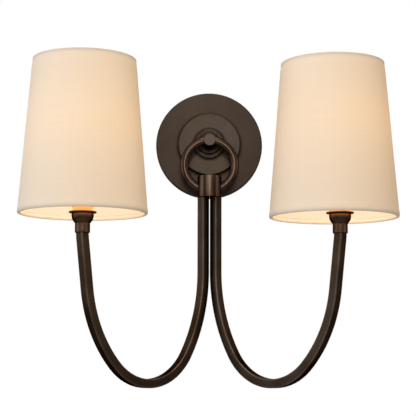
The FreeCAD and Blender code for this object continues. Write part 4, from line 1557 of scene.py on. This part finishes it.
@dataclass
class TaperedShade:
    """The shade: linen rolled round two hoops, a liner, the spokes, the hub and the bulb clip.

    The tuck is how far the cloth runs on inside, past a hoop. A lap is the width of a seam, whose
    angle is in degrees from +X. The ripple is a slow and a fine wave, each with its height and its
    number round the shade.
    """

    side: Side
    bottom_radius: float = 65.45
    top_radius: float = 52.8
    cloth: float = 0.45
    cloth_inset: float = 0.2
    cloth_levels: int = 44
    wire: float = 1.2
    wrap_gap: float = 0.03
    wrap_points: int = 20
    tuck: float = 2.2
    tuck_lean: float = 0.7
    tuck_start: float = 0.5
    edge_fillet: float = 0.8
    edge_run: float = 4.0
    lap: float = 8.0
    lap_height: float = 0.3
    turn_in: float = 8.0
    seam_angle: float = 92.0
    seam_slope: float = 3.0
    slow_wave: float = 0.09
    slow_waves: float = 5.0
    slow_phase: float = 0.8
    fine_wave: float = 0.06
    fine_waves: float = 13.0
    fine_lean: float = 31.0
    liner_inset: float = 0.75
    liner: float = 0.5
    liner_margin: float = 0.6
    liner_levels: int = 30
    liner_lap: float = 6.0
    liner_lap_share: float = 0.8
    liner_seam: float = 66.0
    spoke: float = 1.1
    spokes: int = 3
    spoke_steps: int = 12
    solder_share: float = 0.6
    hub_radius: float = 7.5
    hub_thickness: float = 1.5
    hub_hole: float = 2.6
    hub_fillet: float = 0.3
    clip_wire: float = 0.75
    clip_sides: int = 10
    clip_bend: float = 9.0
    crease: float = 60.0

    @property
    def body(self) -> str:
        """The shade's CAD body."""
        return f"{self.side.word}_shade"

    def radius_at(self, level: np.ndarray | float, height: float) -> np.ndarray | float:
        """Outside radius of the cone at a level above its bottom."""
        return self.bottom_radius + (self.top_radius - self.bottom_radius) * level / height

    def roll(self, hoop: tuple[float, float], edge: float, rise: float) -> np.ndarray:
        """Middle line of the cloth round a hoop, from its tucked end to the shade's outside.

        It comes from the liner over the hoop, follows the hoop's inner half on a circle of its
        radius plus half the cloth, and leaves for the shade's outer edge.

        Args:
            hoop: (radius, height) of the hoop's centre.
            edge: Outside radius of the cone there, to the middle of the cloth.
            rise: 1 where the shade lies above the hoop, -1 where it lies below.

        Returns:
            The (radius, height) points.
        """
        wrap = self.wire + self.cloth / 2.0 + self.wrap_gap
        centre = np.array(hoop)
        angle = np.linspace(math.pi / 2.0, 1.5 * math.pi, self.wrap_points)
        half = centre + wrap * np.stack([np.cos(angle), rise * np.sin(angle)], axis=-1)
        tuck_end = (self.wire, rise * (wrap + self.tuck))
        tuck_foot = (self.wire * self.tuck_lean, rise * (wrap + self.tuck_start))
        tucked = centre + np.array([tuck_end, tuck_foot])
        bottom = tuple(half[-1])
        turn = (edge, bottom[1], self.edge_fillet)
        leave = (edge, bottom[1] + rise * self.edge_run)
        rim = rounded_outline([bottom, turn, leave], closed=False)
        return np.concatenate([tucked, half[1:-1], rim])

    def linen(self, height: float) -> Patch:
        """The cloth as a thin closed shell on both sides of its middle line.

        The middle line is one roll, the straight cone and the other roll. The ripple is a tenth of a
        millimetre of slow waves in the stretched cloth, and the lap seam stands up by a smooth step.

        Args:
            height: Height of the shade.

        Returns:
            The cloth, whose place runs from the bottom edge to the top edge in millimetres.
        """
        low_edge = self.radius_at(0.0, height) - self.cloth / 2.0 - self.cloth_inset
        high_edge = self.radius_at(height, height) - self.cloth / 2.0 - self.cloth_inset
        low = self.roll(self.hoop_centre("bottom"), low_edge, 1.0)
        high = self.roll(self.hoop_centre("top"), high_edge, -1.0)[::-1]
        levels = np.linspace(low[-1, 1], high[0, 1], self.cloth_levels)[1:-1]
        cone_radius = self.radius_at(levels, height) - self.cloth / 2.0 - self.cloth_inset
        cone = np.stack([cone_radius, levels], axis=-1)
        line = np.concatenate([low, cone, high])
        along = np.gradient(line, axis=0)
        along /= np.linalg.norm(along, axis=1)[:, None]
        outwards = np.stack([along[:, 1], -along[:, 0]], axis=-1) * self.cloth / 2.0
        outline = np.concatenate([line + outwards, (line - outwards)[::-1], (line + outwards)[:1]])

        def ripple(angles: np.ndarray, heights: np.ndarray) -> np.ndarray:
            """Slow waves between the hoops, and the lap seam at the back.

            Two sine waves run round the shade, and the finer one leans with the height. A half
            sine wave of the height holds both of them still at the hoops.

            Args:
                angles: Angle of each point.
                heights: Height of each point.

            Returns:
                The change of radius of each point.
            """
            middle = np.sin(math.pi * np.clip(heights / height, 0.0, 1.0))
            slow = self.slow_wave * np.sin(self.slow_waves * angles + self.slow_phase)
            fine = self.fine_wave * np.sin(self.fine_waves * angles + heights / self.fine_lean)
            seam = self.lap_height * self.strip(angles, self.seam_angle, self.lap)
            return (slow + fine) * middle + seam * np.sqrt(middle)

        patch = turned(outline, Turns.SHADE, ripple)
        run = np.concatenate([[0.0], np.cumsum(np.linalg.norm(np.diff(line, axis=0), axis=1))])
        run -= run[len(low)] - levels[0]
        along_cloth = np.concatenate([run, run[::-1], run[:1]])
        patch.cloth[..., 1] = along_cloth[:, None]
        return patch

    def strip(self, angles: np.ndarray, middle: float, width: float) -> np.ndarray:
        """1 in a strip and 0 outside: 1 / (1 + e to the slope times the way past its edge)."""
        away = np.abs((angles - math.radians(middle) + math.pi) % FULL_TURN - math.pi)
        return 1.0 / (1.0 + np.exp((away * self.top_radius - width / 2.0) * self.seam_slope))

    def film(self, height: float) -> Patch:
        """The liner: a thin cone inside the cloth, whose inner face steps in where its ends lap.

        Args:
            height: Height of the shade.

        Returns:
            The liner, with the shade's bottom at height 0.
        """
        levels = np.linspace(self.liner_margin, height - self.liner_margin, self.liner_levels)
        outside = np.stack([self.radius_at(levels, height) - self.liner_inset, levels], axis=-1)
        inside = np.stack([outside[::-1, 0] - self.liner, levels[::-1]], axis=-1)
        outline = np.concatenate([outside, inside, outside[:1]])
        is_inside = np.zeros((len(outline), 1))
        is_inside[len(outside) : -1] = 1.0
        middle = 90.0 - (90.0 - self.liner_seam) * self.side.value

        def lap(angles: np.ndarray, heights: np.ndarray) -> np.ndarray:
            """The second layer of film, on the inner face only."""
            second = -self.liner_lap_share * self.liner * is_inside
            return second * self.strip(angles, middle, self.liner_lap)

        return turned(outline, Turns.SHADE, lap)

    def hoop_centre(self, part: str) -> tuple[float, float]:
        """Where a hoop's wire runs, from its CAD node.

        Args:
            part: Which hoop, bottom or top.

        Returns:
            Radius of the wire's centre, and its height over the shade's bottom.
        """
        _, _, base, _ = node_place(f"{self.side.word}_shade_fabric")
        name = f"{self.side.word}_shade_{part}_hoop"
        _, _, low, high = node_place(name)
        return half_width(name) - self.wire, (low + high) / 2.0 - base

    def hoop(self, part: str) -> Patch:
        """A hoop of round wire: a circle turned about the shade's axis.

        Args:
            part: Which hoop, bottom or top.

        Returns:
            The hoop, with the shade's bottom at height 0.
        """
        radius, level = self.hoop_centre(part)
        ring = round_section(self.wire)
        return turned(ring + np.array([radius, level]), Turns.HOOP)

    def hub(self) -> Patch:
        """The washer that the spokes are soldered to.

        Returns:
            The washer, with its lower face at height 0.
        """
        fillet = self.hub_fillet
        corners = [
            (self.hub_hole, 0.0, fillet),
            (self.hub_radius, 0.0, fillet),
            (self.hub_radius, self.hub_thickness, fillet),
            (self.hub_hole, self.hub_thickness, fillet),
        ]
        return turned(rounded_outline(corners), Turns.HUB)

    def spider(self, hub: Point, hoop: Point, reach: float) -> list[Patch]:
        """The hub and the straight spokes that rise from its upper face to the hoop's inside.

        Args:
            hub: Middle of the hub's lower face.
            hoop: Centre of the top hoop.
            reach: Radius at which the spokes end on the hoop.

        Returns:
            The hub and the spokes in their places.
        """
        patches = moved([self.hub()], hub)
        for index in range(self.spokes):
            angle = FULL_TURN * index / self.spokes + math.pi / 2.0
            way = np.array([math.cos(angle), math.sin(angle), 0.0])
            solder = way * self.hub_radius * self.solder_share
            inner = np.array(hub) + solder + np.array([0.0, 0.0, self.spoke])
            outer = np.array(hoop) + way * reach
            normal = np.cross(outer - inner, [0.0, 0.0, 1.0])
            path = inner + np.linspace(0.0, 1.0, self.spoke_steps)[:, None] * (outer - inner)
            patches += wire_patches(path, self.spoke, normal / np.linalg.norm(normal))
        return patches

    def clip(self, reach: float, height: float) -> list[Patch]:
        """The bulb clip: two wire loops that cross over the bulb's nose.

        Each is a straight leg, a bend, the crossing, a bend and the other leg.

        Args:
            reach: Distance of a leg from the clip's axis.
            height: Height of the crossing over the legs' feet.

        Returns:
            The loops, with their feet at height 0.
        """
        patches = []
        for index in range(2):
            angle = math.pi / 2.0 * index
            way = np.array([math.cos(angle), math.sin(angle), 0.0])
            normal = np.cross(way, [0.0, 0.0, 1.0])
            bend = self.clip_bend
            corners = [(-reach, 0.0), (-reach, height, bend), (reach, height, bend), (reach, 0.0)]
            flat = rounded_outline(corners, closed=False)
            path = flat[:, :1] * way + flat[:, 1:] * np.array([0.0, 0.0, 1.0])
            patches += wire_patches(path, self.clip_wire, normal, self.clip_sides)
        return patches

    def build_cloth(self) -> None:
        """Make the linen and the liner, which glow round the bulb behind them."""
        word = self.side.word
        x, y, low, high = node_place(f"{word}_shade_fabric")
        lamp_x, lamp_y, glass_low, _ = node_place(f"{word}_bulb_glass")
        bulb = (lamp_x, lamp_y, glass_low + FILAMENT_RISE)
        linen = ShadeLinen(f"{word}_linen", "shade_fabric", bulb, high - low)
        shell = moved([self.linen(high - low)], (x, y, low))
        cloth = mesh_piece(f"{word}_linen_shade", shell, self.crease)
        dress(cloth, linen, self.body, f"{word}_shade_fabric")
        film = moved([self.film(high - low)], (x, y, low))
        lining = mesh_piece(f"{word}_shade_lining", film, self.crease)
        dress(lining, LINER, self.body, f"{word}_shade_liner")

    def build_wires(self) -> None:
        """Make the hoops, the spider and the clip."""
        word = self.side.word
        x, y, base, _ = node_place(f"{word}_shade_fabric")
        for part in ("bottom", "top"):
            hoop = mesh_piece(f"{word}_{part}_hoop", moved([self.hoop(part)], (x, y, base)))
            dress(hoop, WIRE_PLATE, self.body, f"{word}_shade_{part}_hoop")
        lamp_x, lamp_y, _, _ = node_place(f"{word}_bulb_glass")
        hub_level = node_place(f"{word}_shade_spider")[2]
        radius, level = self.hoop_centre("top")
        spokes = self.spider((lamp_x, lamp_y, hub_level), (x, y, base + level), radius - self.wire)
        dress(mesh_piece(f"{word}_spider", spokes), WIRE_PLATE, self.body, f"{word}_shade_spider")
        name = f"{word}_bulb_clip"
        clip_x, clip_y, low, high = node_place(name)
        loops = self.clip(half_width(name) - self.clip_wire, high - low - self.clip_wire)
        clip = mesh_piece(f"{word}_wire_clip", moved(loops, (clip_x, clip_y, low)))
        dress(clip, WIRE_PLATE, self.body, name)

    def build(self, frame: dict) -> None:
        """Make every piece of the shade in the place of its CAD node.

        Args:
            frame: The loaded frame; not used, since no node of the shade stays in view.
        """
        self.build_wires()
        self.build_cloth()


# ---------------------------------------------------------------- studio


@dataclass(frozen=True)
class PhotoCamera:
    """The camera of the photograph, from the fit of the photograph's edges.

    Its angles are radians, and the nearest and farthest distances that it shows are metres.
    """

    place: Point = (-22.58, -1376.15, -235.50)
    yaw: float = 0.015644
    pitch: float = 0.119254
    roll: float = 0.001046
    focal_pixels: float = 1217.22
    sensor: float = 36.0
    nearest: float = 0.02
    farthest: float = 50.0

    def build(self) -> None:
        """Make the camera: forward is (sin yaw cos pitch, cos yaw cos pitch, sin pitch)."""
        forward = np.array([
            math.sin(self.yaw) * math.cos(self.pitch),
            math.cos(self.yaw) * math.cos(self.pitch),
            math.sin(self.pitch),
        ])
        right = np.array([math.cos(self.yaw), -math.sin(self.yaw), 0.0])
        up = np.cross(right, forward)
        across = math.cos(self.roll) * right + math.sin(self.roll) * up
        above = -math.sin(self.roll) * right + math.cos(self.roll) * up
        data = bpy.data.cameras.new("photo_camera")
        data.sensor_width = self.sensor
        data.lens = self.focal_pixels / PHOTO_PIXELS * data.sensor_width
        data.clip_start, data.clip_end = self.nearest, self.farthest
        camera = bpy.data.objects.new("photo_camera", data)
        columns = np.stack([across, above, -forward], axis=1)
        matrix = Matrix(columns.tolist()).to_4x4()
        matrix.translation = [part * MM for part in self.place]
        camera.matrix_world = matrix
        bpy.context.scene.collection.objects.link(camera)
        bpy.context.scene.camera = camera


@dataclass(frozen=True)
class SoftBox:
    """A square area light that looks at the sconce. Sizes and places are metres, power is watts."""

    name: str
    place: Point
    size: float
    power: float
    colour: Colour
    aim: Point = (0.0, -0.08, -0.1)

    def build(self) -> None:
        """Make the light: its -z axis points from its place to its aim."""
        data = bpy.data.lights.new(self.name, "AREA")
        data.shape, data.size = "SQUARE", self.size
        data.energy, data.color = self.power, self.colour
        light = bpy.data.objects.new(self.name, data)
        back = np.array(self.place) - np.array(self.aim)
        back /= np.linalg.norm(back)
        right = np.cross([0.0, 0.0, 1.0], back)
        right /= np.linalg.norm(right)
        columns = np.stack([right, np.cross(back, right), back], axis=1)
        matrix = Matrix(columns.tolist()).to_4x4()
        matrix.translation = self.place
        light.matrix_world = matrix
        bpy.context.scene.collection.objects.link(light)


SOFT_BOXES = (
    SoftBox("front_box", (0.0, -1.9, 0.3), size=0.42, power=9.0, colour=(1.0, 0.94, 0.85)),
    SoftBox("key_box", (-0.85, -1.7, 0.35), size=0.35, power=5.0, colour=(1.0, 0.96, 0.92)),
    SoftBox("left_box", (-1.6, -0.8, 0.3), size=0.8, power=6.4, colour=(0.70, 0.82, 1.0)),
    SoftBox("side_box", (-1.8, -0.25, 0.1), size=1.0, power=6.3, colour=(0.88, 0.93, 1.0)),
    SoftBox("top_box", (0.0, -0.5, 1.7), size=0.8, power=29.0, colour=(1.0, 0.87, 0.72)),
    SoftBox("right_box", (1.7, -0.8, 0.3), size=0.8, power=6.8, colour=(1.0, 0.79, 0.63)),
)


@dataclass(frozen=True)
class Studio:
    """White surroundings, a pale floor, soft boxes, and the warm spill under each shade.

    The floor is in metres, and the spill's rise is in millimetres over the shade's bottom.
    """

    floor_level: float = -0.9
    floor_size: float = 6.0
    floor_tone: Colour = (0.86, 0.86, 0.85)
    floor_shade: Colour = (0.82, 0.82, 0.81)
    floor_clouds: float = 1.5
    world_light: float = 0.05
    spill_size: float = 0.1
    spill_rise: float = 6.0
    spill_power: float = 0.15
    spill_colour: Colour = (1.0, 0.50, 0.20)

    def world(self) -> None:
        """White where it is seen straight, in metal or through glass, and dimmer as light."""
        world = bpy.data.worlds.new("white_studio")
        bpy.context.scene.world = world
        world.use_nodes = True
        nodes, links = world.node_tree.nodes, world.node_tree.links
        path = nodes.new("ShaderNodeLightPath")
        seen = path.outputs["Is Camera Ray"]
        for kind in ("Is Glossy Ray", "Is Transmission Ray"):
            larger = nodes.new("ShaderNodeMath")
            larger.operation = "MAXIMUM"
            links.new(seen, larger.inputs[0])
            links.new(path.outputs[kind], larger.inputs[1])
            seen = larger.outputs[0]
        span = nodes.new("ShaderNodeMapRange")
        span.inputs["To Min"].default_value = self.world_light
        span.inputs["To Max"].default_value = 1.0
        links.new(seen, span.inputs["Value"])
        backdrop = nodes["Background"]
        backdrop.inputs["Color"].default_value = (1.0, 1.0, 1.0, 1.0)
        links.new(span.outputs[0], backdrop.inputs["Strength"])

    def floor(self) -> None:
        """A pale floor, a little uneven in tone."""
        half = self.floor_size / 2.0
        corners = [(-half, -half), (half, -half), (half, half), (-half, half)]
        mesh = bpy.data.meshes.new("studio_floor")
        mesh.from_pydata([(*corner, self.floor_level) for corner in corners], [], [(0, 1, 2, 3)])
        floor = bpy.data.objects.new("studio_floor", mesh)
        bpy.context.scene.collection.objects.link(floor)
        sheet = NodeSheet("pale_floor")
        tone = sheet.noise(sheet.places(), self.floor_clouds, detail=2.0)
        sheet.set(Base_Color=sheet.blend(tone, self.floor_tone, self.floor_shade), Roughness=0.9)
        mesh.materials.append(sheet.material)

    def spill(self, side: Side) -> None:
        """The light that leaves a shade's open bottom, as a disc that shines down.

        Args:
            side: Which shade.
        """
        x, y, low, _ = node_place(f"{side.word}_shade_fabric")
        data = bpy.data.lights.new(f"{side.word}_spill", "AREA")
        data.shape, data.size = "DISK", self.spill_size
        data.energy, data.color = self.spill_power, self.spill_colour
        light = bpy.data.objects.new(f"{side.word}_spill", data)
        light.location = (x * MM, y * MM, (low + self.spill_rise) * MM)
        light.visible_camera = False
        bpy.context.scene.collection.objects.link(light)

    def build(self) -> None:
        """Set up the studio."""
        bpy.context.scene.view_settings.view_transform = "Standard"
        self.world()
        self.floor()
        for box in SOFT_BOXES:
            box.build()
        for side in Side:
            self.spill(side)


def main() -> None:
    """Load the frame and build the sconce and its studio, in order."""
    logging.basicConfig(level=logging.INFO, format="%(name)s: %(message)s")
    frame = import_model()
    assemblies = [WallStack(), RingHanger()]
    for side in Side:
        assemblies += [SquareArm(side), CandleLamp(side), CandleBulb(side), TaperedShade(side)]
    for assembly in assemblies:
        assembly.build(frame)
        LOG.info("%s is done", type(assembly).__name__)
    PhotoCamera().build()
    Studio().build()


if __name__ == "__main__":
    main()
